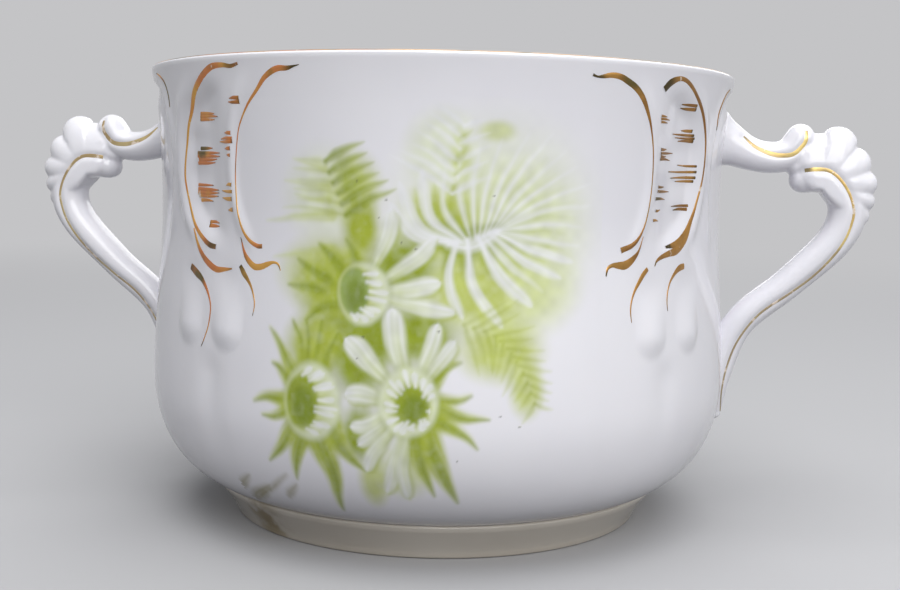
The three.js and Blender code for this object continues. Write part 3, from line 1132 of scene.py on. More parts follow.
@dataclass
class LipGilding:
    """Thin worn gold on the crest and the inner side of the lip. The span is in degrees over the lip."""

    bowl: Bowl
    span: Pair = (48.0, 150.0)
    film: float = 0.025
    rows: int = 14
    steps: int = 512

    def build(self, gold: Material) -> None:
        """Spin a film over part of the rounded lip and gild it.

        Args:
            gold: Its finish.
        """
        turns = np.radians(np.linspace(*self.span, self.rows))
        over = [self.bowl.lip_point(turn, self.film) for turn in turns]
        under = [self.bowl.lip_point(turn, -self.film) for turn in turns[::-1]]
        piece = Piece.revolved("gilt_lip", [*over, *under, over[0]], self.steps)
        piece.finish(gold, Slot.GILDING, "rim_gilding")


@dataclass
class GiltBrush:
    """Lays strokes of gold as thin raised ribbons whose edges sink into the surface."""

    crown: float = 0.07
    sunk: float = 0.05
    flatness: int = 3
    rows: int = 5
    least_width: float = 0.05
    pool_reach: Pair = (0.03, 0.1)
    ribbons: list[Piece] = field(default_factory=list)

    def spread(self, line: Sequence[Sequence[float]], count: int, scale: float) -> Array:
        """Spread a stroke into rows of points across its line.

        Args:
            line: Rows of two coordinates and the stroke's width there.
            count: Samples along the line.
            scale: Millimetres for one unit of the first coordinate.

        Returns:
            Points in the line's coordinates, shaped (rows, count, 2).
        """
        fine = smooth_line(np.asarray(line, float) * (scale, 1, 1), count)
        along = headings(fine)
        half = np.maximum(fine[:, 2:], self.least_width) / 2
        aside = np.column_stack([-along[:, 1], along[:, 0]]) * half
        across = np.linspace(-1, 1, self.rows)
        return (fine[None, :, :2] + across[:, None, None] * aside[None]) / (scale, 1)

    def lifts(self, count: int) -> Array:
        """Distance off the surface for the points of a ribbon, row by row."""
        across = np.abs(np.linspace(-1, 1, self.rows))
        return np.repeat(self.crown - (self.crown + self.sunk) * across**self.flatness, count)

    def lay(self, points: Array) -> Piece:
        """Make one ribbon, marked where the gold pools at its ends.

        Args:
            points: Points shaped (rows, count, 3).

        Returns:
            The ribbon.
        """
        rows, count = points.shape[:2]
        deselect()
        bpy.ops.mesh.primitive_grid_add(x_subdivisions=count - 1, y_subdivisions=rows - 1, size=MM)
        ribbon = Piece()
        ribbon.place(points.reshape(-1, 3))
        share = np.tile(np.linspace(0, 1, count), rows)
        ends = 1 - soft_step(np.minimum(share, 1 - share), *self.pool_reach)
        ribbon.object.data.attributes.new(POOL, "FLOAT", "POINT").data.foreach_set("value", ends)
        self.ribbons.append(ribbon)
        return ribbon

    def joined(self, name: str) -> Piece:
        """Join all ribbons into one piece, with their faces outwards.

        Args:
            name: Name of the piece.

        Returns:
            The piece.
        """
        piece = Piece.joined(self.ribbons, name)
        piece.pick()
        bpy.ops.object.transform_apply()
        piece.close()
        return piece


@dataclass(frozen=True)
class ColumnStrokes:
    """Brushwork of one column, by hand and so unlike its neighbour's.

    A line is rows of angle from the panel's middle, drop from the rim and width. A dash is a row of
    the angle where it starts, the angle where it ends and its drop.
    """

    lines: dict[str, Line]
    dashes: Line
    dash_widths: Pair


RIGHT_STROKES = ColumnStrokes(
    lines={
        "front scroll": (
            (24.8, 2.4, 0.5), (25.8, 2.6, 0.35), (27.0, 2.5, 0.7), (28.6, 2.3, 0.92), (30.4, 2.45, 1.0),
            (32.2, 3.0, 1.08), (34.0, 3.7, 1.1), (35.6, 4.8, 0.95), (37.0, 6.4, 0.65), (38.4, 8.6, 0.34),
            (39.5, 11.6, 0.22), (39.9, 14.9, 0.2), (39.8, 18.0, 0.22), (39.1, 20.8, 0.3),
            (37.9, 22.8, 0.5), (36.1, 24.1, 0.85), (33.4, 24.8, 1.05)),
        "front leaf": (
            (38.7, 23.0, 0.12), (37.9, 24.8, 0.5), (36.5, 25.9, 1.1), (34.6, 26.7, 1.5),
            (33.0, 26.75, 1.25), (31.5, 26.7, 0.75), (30.4, 27.1, 0.55), (30.0, 28.1, 0.25)),
        "side scroll": (
            (40.8, 3.6, 1.2), (42.3, 2.6, 1.3), (44.6, 2.0, 0.85), (47.0, 2.25, 0.8), (50.0, 3.4, 0.8),
            (53.0, 5.2, 0.72), (55.2, 7.2, 0.58), (56.9, 9.8, 0.44), (57.6, 12.6, 0.38),
            (57.4, 15.6, 0.38), (56.4, 18.2, 0.44), (55.2, 20.3, 0.65), (53.2, 22.4, 1.0),
            (50.8, 23.8, 1.25), (48.4, 24.4, 0.95), (46.0, 24.6, 0.4)),
        "side leaf": (
            (54.6, 21.4, 0.3), (52.2, 23.8, 1.2), (49.4, 25.1, 1.5), (46.8, 25.5, 1.1), (44.4, 25.9, 0.8),
            (42.9, 26.4, 0.5), (42.3, 27.1, 0.2)),
        "front comma": (
            (40.3, 27.4, 0.85), (39.2, 28.1, 1.0), (37.9, 29.2, 0.85), (36.7, 30.3, 0.55),
            (35.9, 31.6, 0.36), (35.6, 32.9, 0.28), (35.8, 34.4, 0.1)),
        "side comma": (
            (52.1, 27.4, 1.1), (50.4, 27.6, 1.2), (48.6, 28.3, 0.8), (47.0, 29.4, 0.46),
            (46.1, 30.7, 0.32), (45.8, 32.0, 0.26), (45.9, 33.3, 0.1)),
        "panel arc": (
            (69.5, 2.2, 0.3), (66.7, 3.0, 0.42), (63.8, 4.4, 0.4), (62.2, 6.1, 0.32), (61.8, 8.3, 0.14)),
    },
    dashes=(
        (51.9, 47.6, 5.3), (52.0, 47.7, 5.8), (53.0, 49.2, 8.7), (53.7, 46.4, 9.3), (54.0, 47.4, 9.7),
        (53.9, 48.6, 10.1), (55.7, 49.3, 13.5), (55.8, 46.4, 14.3), (55.7, 47.5, 15.1),
        (55.3, 49.2, 15.6), (54.1, 48.5, 19.0), (53.8, 49.2, 19.5), (41.0, 43.1, 7.0), (41.0, 44.3, 7.4),
        (41.1, 43.5, 7.8), (42.2, 44.5, 11.4), (42.2, 47.4, 11.9), (42.3, 44.6, 12.3), (42.2, 46.5, 12.7),
        (42.5, 45.0, 16.4), (42.4, 47.3, 17.0), (41.8, 45.8, 18.0), (42.2, 44.0, 19.6), (41.5, 43.5, 20.9)),
    dash_widths=(0.45, 0.68))

LEFT_STROKES = ColumnStrokes(
    lines={
        "front scroll": (
            (23.9, 1.9, 0.1), (25.1, 2.1, 0.4), (26.4, 2.3, 0.8), (28.0, 2.3, 1.0), (29.5, 2.7, 1.0),
            (31.1, 3.5, 0.85), (32.8, 4.9, 0.65), (35.0, 6.6, 0.5), (36.8, 8.5, 0.35), (37.9, 10.3, 0.24),
            (38.7, 13.4, 0.2), (39.0, 16.6, 0.2), (38.7, 20.0, 0.26), (38.1, 21.8, 0.36),
            (37.2, 23.3, 0.55), (35.7, 24.5, 0.75), (34.0, 25.1, 0.85), (32.8, 25.1, 0.85)),
        "front leaf": (
            (38.0, 24.1, 0.15), (37.3, 25.8, 0.65), (36.3, 26.9, 1.1), (34.6, 27.8, 1.25),
            (33.0, 27.8, 1.2), (31.5, 27.4, 1.0), (30.2, 27.1, 0.55), (29.1, 27.3, 0.42),
            (28.5, 28.1, 0.15)),
        "side scroll": (
            (36.4, 1.5, 0.5), (38.3, 1.8, 0.7), (40.3, 1.6, 0.85), (43.0, 1.7, 1.1), (45.3, 2.4, 1.2),
            (47.7, 3.5, 1.1), (50.3, 5.1, 0.9), (52.7, 7.5, 0.65), (54.6, 9.9, 0.48), (55.8, 13.0, 0.38),
            (56.4, 16.3, 0.38), (55.4, 19.3, 0.4), (53.8, 21.8, 0.5), (52.1, 23.4, 0.7),
            (49.7, 24.7, 0.9), (47.4, 25.5, 1.0), (45.3, 25.7, 0.85)),
        "side leaf": (
            (52.9, 23.4, 0.25), (51.4, 25.6, 0.8), (49.6, 27.0, 1.1), (47.4, 28.0, 1.25),
            (44.8, 28.7, 1.15), (42.4, 28.6, 0.75), (40.3, 28.4, 0.25)),
        "front comma": (
            (38.1, 27.9, 0.9), (37.1, 28.8, 1.2), (35.9, 29.7, 0.8), (34.9, 30.7, 0.48),
            (34.2, 32.0, 0.3), (34.0, 33.0, 0.24), (34.3, 34.3, 0.1)),
        "side comma": (
            (53.9, 28.8, 1.3), (51.5, 29.6, 1.5), (49.4, 30.3, 1.1), (47.7, 31.4, 0.75),
            (46.3, 32.9, 0.4), (45.8, 34.3, 0.32), (46.2, 36.5, 0.28), (47.3, 38.4, 0.22),
            (48.1, 39.5, 0.1)),
        "panel arc": (
            (68.0, 1.6, 0.3), (65.0, 2.2, 0.42), (62.6, 3.2, 0.4), (61.4, 4.8, 0.32), (61.0, 6.6, 0.14)),
    },
    dashes=(
        (50.3, 45.1, 7.7), (50.4, 43.7, 8.1), (50.4, 45.2, 8.5), (51.4, 47.1, 12.4), (52.6, 44.0, 13.0),
        (52.6, 44.0, 13.4), (52.2, 45.5, 13.9), (52.6, 46.2, 14.4), (53.1, 47.5, 17.4),
        (53.1, 45.3, 18.0), (53.1, 45.3, 18.5), (52.7, 45.6, 18.9), (52.2, 47.8, 19.5),
        (48.8, 45.5, 22.4), (48.7, 45.4, 22.9), (36.8, 39.3, 5.9), (36.8, 39.6, 6.4), (39.4, 41.4, 10.4),
        (39.2, 43.1, 11.1), (39.2, 43.7, 11.5), (39.8, 41.6, 12.4), (39.9, 40.9, 13.3),
        (39.9, 42.0, 17.2), (39.8, 43.9, 18.1), (40.0, 43.8, 19.1), (39.9, 41.6, 20.5)),
    dash_widths=(0.6, 0.85))


@dataclass
class ColumnGilding:
    """Gilt scrolls, leaves, commas and dashes of the four columns."""

    bowl: Bowl
    seed: int = 7
    strokes: dict[Side, ColumnStrokes] = field(
        default_factory=lambda: {Side.RIGHT: RIGHT_STROKES, Side.LEFT: LEFT_STROKES})
    waver: float = 0.05
    end_waver: float = 0.12
    end_width: float = 0.14
    bend: float = 0.55
    bend_width: float = 0.8
    point_steps: int = 7
    dash_steps: int = 10

    def dash_line(self, dash: Triple, widths: Pair, draw: np.random.Generator) -> Line:
        """Line of one dash, thick where the brush was set down and uneven as a hand leaves it.

        Args:
            dash: The angles where it starts and ends, and its drop.
            widths: Least and greatest width of its start.
            draw: Source of its unevenness.

        Returns:
            The line.
        """
        start, end, drop = dash
        width = draw.uniform(*widths)
        bend = start + self.bend * (end - start)
        middle = (bend, drop + draw.uniform(-self.waver, self.waver), self.bend_width * width)
        last = (end, drop + draw.uniform(-self.end_waver, self.end_waver), self.end_width)
        return (start, drop, width), middle, last

    def paint(self, brush: GiltBrush, line: Line, panel: Panel, side: Side, count: int) -> None:
        """Lay one stroke on one column.

        Args:
            brush: The brush.
            line: The stroke.
            panel: The large panel that the column frames.
            side: The panel's side.
            count: Samples along the stroke.
        """
        points = brush.spread(line, count, DEGREE)
        bearing = self.bowl.mould.turn + panel.value + side.value * points[..., 0]
        height = self.bowl.height - points[..., 1]
        rows = self.bowl.surface(bearing.ravel(), height.ravel(), brush.lifts(count))
        brush.lay(rows.reshape(*points.shape[:2], 3))

    def build(self, gold: Material) -> None:
        """Paint all four columns and gild them.

        Args:
            gold: The finish.
        """
        scrolls, dashes = GiltBrush(), GiltBrush()
        draw = np.random.default_rng(self.seed)
        for panel in Panel:
            for side in Side:
                strokes = self.strokes[side]
                for line in strokes.lines.values():
                    self.paint(scrolls, line, panel, side, self.point_steps * len(line))
                for dash in strokes.dashes:
                    line = self.dash_line(dash, strokes.dash_widths, draw)
                    self.paint(dashes, line, panel, side, self.dash_steps)
        scrolls.joined("gilt_scrolls").finish(gold, Slot.GILDING)
        dashes.joined("gilt_dashes").finish(gold, Slot.GILDING)


@dataclass(frozen=True)
class Scroll:
    """Arm of a handle, lofted through its stations, with its start and its end rounded where asked.

    A station is a row of reach from the wall, height, half width and half depth.
    """

    stations: Rows
    domed: tuple[bool, bool]
    squareness: float = 2.25
    ring_points: int = 40
    station_steps: int = 14
    dome_steps: int = 8

    def rings(self, bowl: Bowl) -> Array:
        """Cross-sections along the scroll, its rounded ends included.

        Args:
            bowl: The bowl whose wall it starts from.

        Returns:
            Rows of x, z, half width, half depth and the run's angle from upright.
        """
        rows = [(*bowl.beside(reach, height), *half) for reach, height, *half in self.stations]
        line = smooth_line(rows, self.station_steps * len(rows))
        along = headings(line)
        bends = np.linspace(0, np.pi / 2, self.dome_steps)[1:-1]
        ends = []
        for index, outward, wanted in ((0, -1, self.domed[0]), (-1, 1, self.domed[1])):
            place, half = line[index, :2], line[index, 2:]
            way = outward * along[index] * half[0]
            dome = [(*(place + way * np.sin(bend)), *(half * np.cos(bend))) for bend in bends]
            ends.append(np.array(dome if wanted else np.empty((0, 4))))
        whole = np.vstack([ends[0][::-1], line, ends[1]])
        start, end = (np.repeat(along[[index]], len(ends[index]), 0) for index in (0, -1))
        heading = np.vstack([start, along, end])
        return np.column_stack([whole, np.unwrap(np.arctan2(heading[:, 0], heading[:, 1]))])

    def extrude(self, before: Array, after: Array) -> None:
        """Extrude the selected ring to the next one, turning and sizing it on the way.

        Args:
            before: Row of the ring that it starts from.
            after: Row of the next ring.
        """
        centre = Vector((after[0] * MM, 0, after[1] * MM))
        move = ((after[0] - before[0]) * MM, 0, (after[1] - before[1]) * MM)
        wide, deep = after[2:4] / before[2:4]
        bpy.ops.mesh.extrude_region_move(TRANSFORM_OT_translate={"value": move})
        bpy.ops.transform.rotate(value=before[4] - after[4], orient_axis="Y", center_override=centre)
        bpy.ops.transform.resize(value=(wide, deep, wide), center_override=centre)

    def loft(self, bowl: Bowl) -> Piece:
        """Extrude a squarish circle from ring to ring and close its ends.

        Args:
            bowl: The bowl whose wall it starts from.

        Returns:
            The closed scroll.
        """
        rings = self.rings(bowl)
        x, z, wide, deep, angle = rings[0]
        place = (x * MM, 0, z * MM)
        deselect()
        bpy.ops.mesh.primitive_circle_add(
            vertices=self.ring_points, radius=MM, location=place, rotation=(0, angle, 0))
        piece = Piece()
        circle = piece.points()
        piece.place(np.sign(circle) * np.abs(circle) ** (2 / self.squareness))
        piece.object.scale = (wide, deep, 1)
        bpy.ops.object.transform_apply()
        with piece.editing():
            for before, after in zip(rings, rings[1:]):
                self.extrude(before, after)
            bpy.ops.mesh.select_all(action="DESELECT")
            bpy.ops.mesh.select_non_manifold()
            bpy.ops.mesh.fill_holes(sides=0)
        piece.close()
        return piece


@dataclass(frozen=True)
class Web:
    """Swelling that carries an arm over into the curl and the shell.

    It has its middle in the handle's plane, half its length, depth and height, and a slant in degrees.
    """

    middle: Pair
    half: Triple
    slant: float = 0.0
    segments: int = 32
    ring_count: int = 20

    def swell(self) -> Piece:
        """Add the swelling.

        Returns:
            The piece.
        """
        x, z = self.middle
        deselect()
        bpy.ops.mesh.primitive_uv_sphere_add(
            segments=self.segments, ring_count=self.ring_count, radius=MM,
            location=(x * MM, 0, z * MM), rotation=(0, -math.radians(self.slant), 0))
        piece = Piece()
        piece.object.scale = self.half
        bpy.ops.object.transform_apply()
        return piece


@dataclass(frozen=True)
class Shell:
    """Shell thumb rest: a fan round its eye with a scalloped edge, drawn in to a core behind.

    Its eye is a reach from the wall and a height. Angles run from the outward direction.
    """

    eye: Pair = (14.9, 52.2)
    scallop_edges: tuple[float, ...] = (86, 52, 17, -9, -27, -46)
    scallop_crests: tuple[float, ...] = (9.5, 8.5, 8.5, 8.6, 9.0)
    scallop_depth: float = 0.026
    groove: float = 0.22
    groove_power: float = 5
    depth: float = 3.3
    fullness: float = 2.6
    saddle: float = 8.0
    saddle_end: float = 125
    core: float = 3.2
    hem: float = 1.1
    segments: int = 180
    ring_count: int = 36

    def scallops(self, angle: Array) -> tuple[Array, Array]:
        """Edge of the shell.

        Args:
            angle: Angles round its eye in degrees.

        Returns:
            Radius of the edge, and nearness to a groove from 0 to 1.
        """
        core, hem, saddle, edges = self.core, self.hem, self.saddle, self.scallop_edges
        # the plain edge, from the back of the core under the hem, and over the saddle to the back again
        angles = (-180, -140, -115, -80, -62, edges[-1], edges[0], self.saddle_end, 150, 180)
        radii = (core, 0.45 * core, hem, hem, core, saddle, saddle, saddle, 1.5 * core, core)
        edge = np.interp(angle, angles, radii)
        groove = np.ones_like(angle)
        for crest, high, low in zip(self.scallop_crests, edges, edges[1:]):
            inside = (angle <= high) & (angle > low)
            nearness = (2 * (angle - low) / (high - low) - 1) ** 2
            edge = np.where(inside, crest - self.scallop_depth * (high - low) * nearness, edge)
            groove = np.where(inside, nearness, groove)
        return edge, groove

    def build(self, bowl: Bowl) -> Piece:
        """Draw a ball out into the fan, with grooves that deepen towards its edge.

        Args:
            bowl: The bowl whose wall it stands off.

        Returns:
            The piece.
        """
        deselect()
        bpy.ops.mesh.primitive_uv_sphere_add(
            segments=self.segments, ring_count=self.ring_count, radius=MM, rotation=(math.pi / 2, 0, 0))
        fan = Piece()
        bpy.ops.object.transform_apply()
        ball = fan.points()
        turn = np.arctan2(ball[:, 2], ball[:, 0])
        share = np.clip(np.hypot(ball[:, 0], ball[:, 2]), 0, 1)
        edge, groove = self.scallops(np.degrees(turn))
        power = self.fullness
        sunk = 1 - self.groove * groove * share**self.groove_power
        depth = self.depth * sunk * (1 - share**power) ** (1 / power)
        x, z = bowl.beside(*self.eye)
        across, up = x + edge * share * np.cos(turn), z + edge * share * np.sin(turn)
        fan.place(np.column_stack([across, np.sign(ball[:, 1]) * depth, up]))
        return fan


@dataclass
class Handle:
    """Cast scroll handle with a shell thumb rest, and the gold lines along it.

    A gold line is rows of x, z and width in the handle's plane.
    """

    bowl: Bowl
    upper: Scroll = Scroll(
        ((-1.6, 59.6, 3.8, 3.3), (3.6, 57.1, 2.6, 3.1), (7.4, 56.4, 2.4, 3.0),
         (10.0, 57.1, 2.4, 3.0), (11.4, 59.4, 2.2, 2.8)),
        domed=(False, True))
    lower: Scroll = Scroll(
        ((12.2, 53.1, 2.0, 2.6), (16.2, 53.1, 2.2, 3.1), (19.1, 48.9, 2.8, 3.1), (17.4, 43.9, 2.7, 3.1),
         (10.3, 37.1, 2.4, 3.1), (2.7, 30.6, 2.3, 3.0), (0.1, 22.5, 1.4, 2.2), (0.0, 16.3, 0.7, 0.9)),
        domed=(True, True))
    webs: tuple[Web, ...] = (
        Web((55.0, 55.1), (1.9, 2.4, 1.6), -35.0), Web((56.8, 56.5), (2.8, 2.9, 2.5)))
    shell: Shell = Shell()
    voxel: float = 0.18
    smoothing: int = 11
    sink: float = 0.5
    fillet: float = 1.5
    fillet_rise: float = 0.4
    groove: float = 0.3
    groove_width: float = 0.6
    groove_steps: int = 160
    facing: Pair = (0.2, 0.6)
    off_face: float = 8.0
    point_steps: int = 9
    first_line: Line = (
        (46.7, 59.5, 0.3), (48.4, 58.0, 0.65), (50.3, 57.1, 0.85), (52.1, 56.7, 0.9), (54.0, 56.9, 0.85),
        (55.2, 57.9, 0.8), (55.9, 59.0, 0.75), (56.0, 60.5, 0.5))
    second_line: Line = (
        (55.9, 54.5, 0.75), (57.4, 54.7, 0.8), (59.2, 54.6, 0.7), (60.7, 53.7, 0.62), (62.1, 52.0, 0.56),
        (63.0, 50.2, 0.52), (63.4, 48.3, 0.5), (63.1, 46.4, 0.48), (62.3, 44.1, 0.48), (60.6, 41.4, 0.48),
        (57.8, 38.3, 0.48), (54.3, 35.5, 0.48), (50.2, 32.4, 0.46), (47.2, 28.2, 0.42),
        (45.7, 24.0, 0.38), (45.1, 20.2, 0.32), (45.1, 16.6, 0.22))

    def seat(self, piece: Piece) -> None:
        """Seat the ends on the wall: cut off what lies deep in it and flare the slip joint.

        Args:
            piece: The handle.
        """
        points = piece.points()
        wall = self.bowl.moulded_radius(bearings(points), points[:, 2])
        off = np.hypot(points[:, 0], points[:, 1]) - wall
        near = np.clip(1 - np.maximum(off, 0) / self.fillet, 0, 1) ** 2
        points = points + self.fillet_rise * near[:, None] * piece.vectors("normal")
        wall = self.bowl.moulded_radius(bearings(points), points[:, 2])
        radius = np.maximum(np.hypot(points[:, 0], points[:, 1]), wall - self.sink)
        piece.place(round_cup(bearings(points), radius, points[:, 2]))

    def press_grooves(self, piece: Piece) -> None:
        """Press a shallow groove along both gold lines, on both faces.

        Args:
            piece: The handle.
        """
        points, normals = piece.points(), piece.vectors("normal")
        depth = np.zeros(len(points))
        for line in (self.first_line, self.second_line):
            x, z = smooth_line(line, self.groove_steps).T[:2]
            gap = np.min(np.hypot(points[:, [0]] - x, points[:, [2]] - z), axis=1)
            depth = np.maximum(depth, self.groove * np.exp(-((gap / self.groove_width) ** 2)))
        facing = soft_step(np.abs(normals[:, 1]), *self.facing)
        piece.place(points - (depth * facing)[:, None] * normals)

    def gold_lines(self, handle: Piece, name: str) -> Piece:
        """Lay the two gold lines on both faces of the handle.

        Args:
            handle: The finished right-hand handle.
            name: Name of the piece.

        Returns:
            The piece with all four lines.
        """
        brush = GiltBrush()
        for line in (self.first_line, self.second_line):
            count = self.point_steps * len(line)
            flat = brush.spread(line, count, 1.0)
            for side in Side:
                y = np.full(flat.shape[:2], self.off_face * side.value)
                ribbon = brush.lay(np.dstack([flat[..., 0], y, flat[..., 1]]))
                ribbon.modify(
                    "SHRINKWRAP", target=handle.object, wrap_method="PROJECT", use_project_y=True,
                    use_negative_direction=True, use_positive_direction=True)
                points = ribbon.points()
                points[:, 1] += side.value * brush.lifts(count)
                ribbon.place(points)
        return brush.joined(name)

    def build(self, glaze: Material, gold: Material) -> None:
        """Model the right handle and its gold, and turn a copy of both to the left.

        Args:
            glaze: Finish of the handles.
            gold: Finish of the lines.
        """
        forms = [self.upper.loft(self.bowl), self.lower.loft(self.bowl)]
        forms += [web.swell() for web in self.webs]
        right = Piece.joined([*forms, self.shell.build(self.bowl)], "scroll_handle_right")
        right.modify("REMESH", mode="VOXEL", voxel_size=self.voxel * MM)
        right.modify("SMOOTH", factor=0.5, iterations=self.smoothing)
        self.seat(right)
        self.press_grooves(right)
        right_lines = self.gold_lines(right, "gilt_lines_right")
        left = right.half_turned("scroll_handle_left")
        left_lines = right_lines.half_turned("gilt_lines_left")
        right.finish(glaze, Slot.PORCELAIN, "handle_right")
        left.finish(glaze, Slot.PORCELAIN, "handle_left")
        right_lines.finish(gold, Slot.GILDING)
        left_lines.finish(gold, Slot.GILDING)


BLUNT = 0.3             # share of a petal's length that is rounded off at its tip


class Tip(Enum):
    """Outline of a stroke: its width at the root, the share of its length where it widens, and its taper."""

    PETAL = (0.45, 0.6, 0.0)
    LEAF = (1.0, 1.0, 0.8)
    RAY = (0.35, 0.35, 0.4)
    LEAFLET = (0.4, 0.35, 0.6)

    def outline(self, share: Array) -> Array:
        """Width at each share of the length, as a share of the greatest width.

        Args:
            share: Shares from the root (0) to the tip (1).

        Returns:
            The widths.
        """
        start, widening, taper = self.value
        swell = start + (1 - start) * soft_step(share, 0, widening)
        if self is Tip.PETAL:
            return swell * np.sqrt(np.maximum(1 - (np.maximum(share - 1 + BLUNT, 0) / BLUNT) ** 2, 0))
        return swell * (1 - share) ** taper


class Tint(Enum):
    """Colours of the print: one green from mist to deep, and the white that is left out of it."""

    WHITE = linear(236, 237, 240)
    MIST = linear(222, 228, 200)
    PALE = linear(208, 217, 154)
    LIGHT = linear(190, 201, 100)
    OLIVE = linear(170, 183, 54)
    GREEN = linear(144, 160, 30)
    DEEP = linear(112, 132, 14)
    SAGE = linear(146, 166, 88)
    STAIN = linear(126, 116, 34)
    SPECK = linear(74, 70, 58)


@dataclass(frozen=True)
class Brush:
    """How a stroke is painted: its outline, its colours from root to tip and its cover.

    Its edges are softened over some millimetres, and a share of the cover fades towards the tip.
    """

    tip: Tip
    root_tint: Tint
    tip_tint: Tint
    cover: float
    soft: float = 0.3
    fade: float = 0.2


class Picture:
    """Colour and cover on the points of a surface, laid stroke over stroke.

    Its mottling is rows of a share of the whole and the size of the spots.
    """

    wobble: float = 0.14
    wobble_size: float = 2.6
    streaks: float = 0.16
    streak_pitch: float = 8.5
    streak_slant: float = 3.0
    streak_start: float = 6.0
    stroke_steps: int = 18
    mottling: tuple[Pair, ...] = ((0.55, 0.8), (0.45, 2.4))
    mottled_cover: float = 0.16
    mottled_colour: float = 0.08
    colour_spots: float = 1.2

    def __init__(self, points: Array, seed: int) -> None:
        """Start a bare picture.

        Args:
            points: Rows of arc length and height.
            seed: Start of the brush's unevenness.
        """
        self.draw = np.random.default_rng(seed)
        self.low, self.span = points.min(0), np.ptp(points, axis=0)
        self.flat = points
        shaken = np.column_stack([self.noise(self.wobble_size), self.noise(self.wobble_size)])
        self.points = points + self.wobble * shaken
        self.paint = np.zeros((len(points), 4))

    def noise(self, size: float) -> Array:
        """Smooth unevenness from -1 to 1.

        Args:
            size: Size of its spots.

        Returns:
            The value at each point.
        """
        grid = self.draw.uniform(-1, 1, np.ceil(self.span / size).astype(int) + 2)
        place = (self.flat - self.low) / size
        x, y = place.astype(int).T
        u, v = soft_step(place % 1, 0, 1).T
        near = grid[x, y] * (1 - u) + grid[x + 1, y] * u
        far = grid[x, y + 1] * (1 - u) + grid[x + 1, y + 1] * u
        return near * (1 - v) + far * v

    def lay(self, where: Array, cover: Array, colour: Array) -> None:
        """Lay colour over some of the points.

        Args:
            where: Indices of the points.
            cover: Cover at each, 0 to 1.
            colour: One colour, or one for each point.
        """
        old = self.paint[where]
        fresh = cover[:, None]
        kept = old[:, 3:] * (1 - fresh)
        whole = kept + fresh
        mixed = (old[:, :3] * kept + np.atleast_2d(colour)[:, :3] * fresh) / np.maximum(whole, 1e-6)
        self.paint[where] = np.hstack([mixed, whole])

    def wash(self, centre: Sequence[float], size: Sequence[float], tint: Tint, cover: float,
             hard: float = 0.3) -> None:
        """Lay a soft oval.

        Args:
            centre: Its middle.
            size: Its half width and half height.
            tint: Its colour.
            cover: Cover in its middle.
            hard: Share of its size that is evenly covered.
        """
        away = np.hypot(*((self.points - centre) / size).T)
        where = np.nonzero(away < 1)[0]
        self.lay(where, cover * (1 - soft_step(away[where], hard, 1)), np.array(tint.value))

    def follow(self, fine: Array, place: Array) -> tuple[Array, Array, Array]:
        """Nearest places on a line.

        Args:
            fine: Points of the line.
            place: Points to look from.

        Returns:
            Share of the line's length at the nearest place, the distance, and the same with the side's sign.
        """
        nearest = np.full(len(place), np.inf)
        share, aside = np.zeros(len(place)), np.zeros(len(place))
        for number, (start, end) in enumerate(zip(fine, fine[1:])):
            run = end - start
            along = np.clip((place - start) @ run / (run @ run), 0, 1)
            off = place - start - along[:, None] * run
            away = np.hypot(*off.T)
            closer = away < nearest
            nearest = np.where(closer, away, nearest)
            share = np.where(closer, (number + along) / (len(fine) - 1), share)
            aside = np.where(closer, np.sign(run[0] * off[:, 1] - run[1] * off[:, 0]) * away, aside)
        return share, nearest, aside

    def stroke(self, line: Sequence[Sequence[float]], width: float, brush: Brush) -> None:
        """Lay one tapered stroke.

        Args:
            line: Points from its root to its tip.
            width: Its greatest width.
            brush: How it is painted.
        """
        fine = smooth_line(line, self.stroke_steps)
        reach = width / 2 + brush.soft
        inside = (self.points > fine.min(0) - reach) & (self.points < fine.max(0) + reach)
        where = np.nonzero(np.all(inside, axis=1))[0]
        share, away, aside = self.follow(fine, self.points[where])
        start = self.draw.uniform(0, self.streak_start)
        phase = self.streak_pitch * aside + self.streak_slant * share + start
        cover = brush.cover * (1 - self.streaks * (0.5 + 0.5 * np.sin(phase))) * (1 - brush.fade * share**2)
        edge = width / 2 * brush.tip.outline(share) - away
        root, end = np.array(brush.root_tint.value), np.array(brush.tip_tint.value)
        colour = root + share[:, None] * (end - root)
        self.lay(where, cover * soft_step(edge, -brush.soft, brush.soft), colour)

    def mottle(self) -> None:
        """Make the cover and the colour uneven, as a print on glaze is."""
        rough = sum(share * self.noise(size) for share, size in self.mottling)
        self.paint[:, 3] *= np.clip(1 + self.mottled_cover * rough, 0, 1)
        self.paint[:, :3] *= 1 + self.mottled_colour * self.noise(self.colour_spots)[:, None]


def polar(centre: Sequence[float], angle: float, reach: Sequence[float] | float) -> Array:
    """Place at an angle (degrees, anticlockwise from the right) and a distance from a centre."""
    turn = math.radians(angle)
    return np.array(centre) + reach * np.array([math.cos(turn), math.sin(turn)])


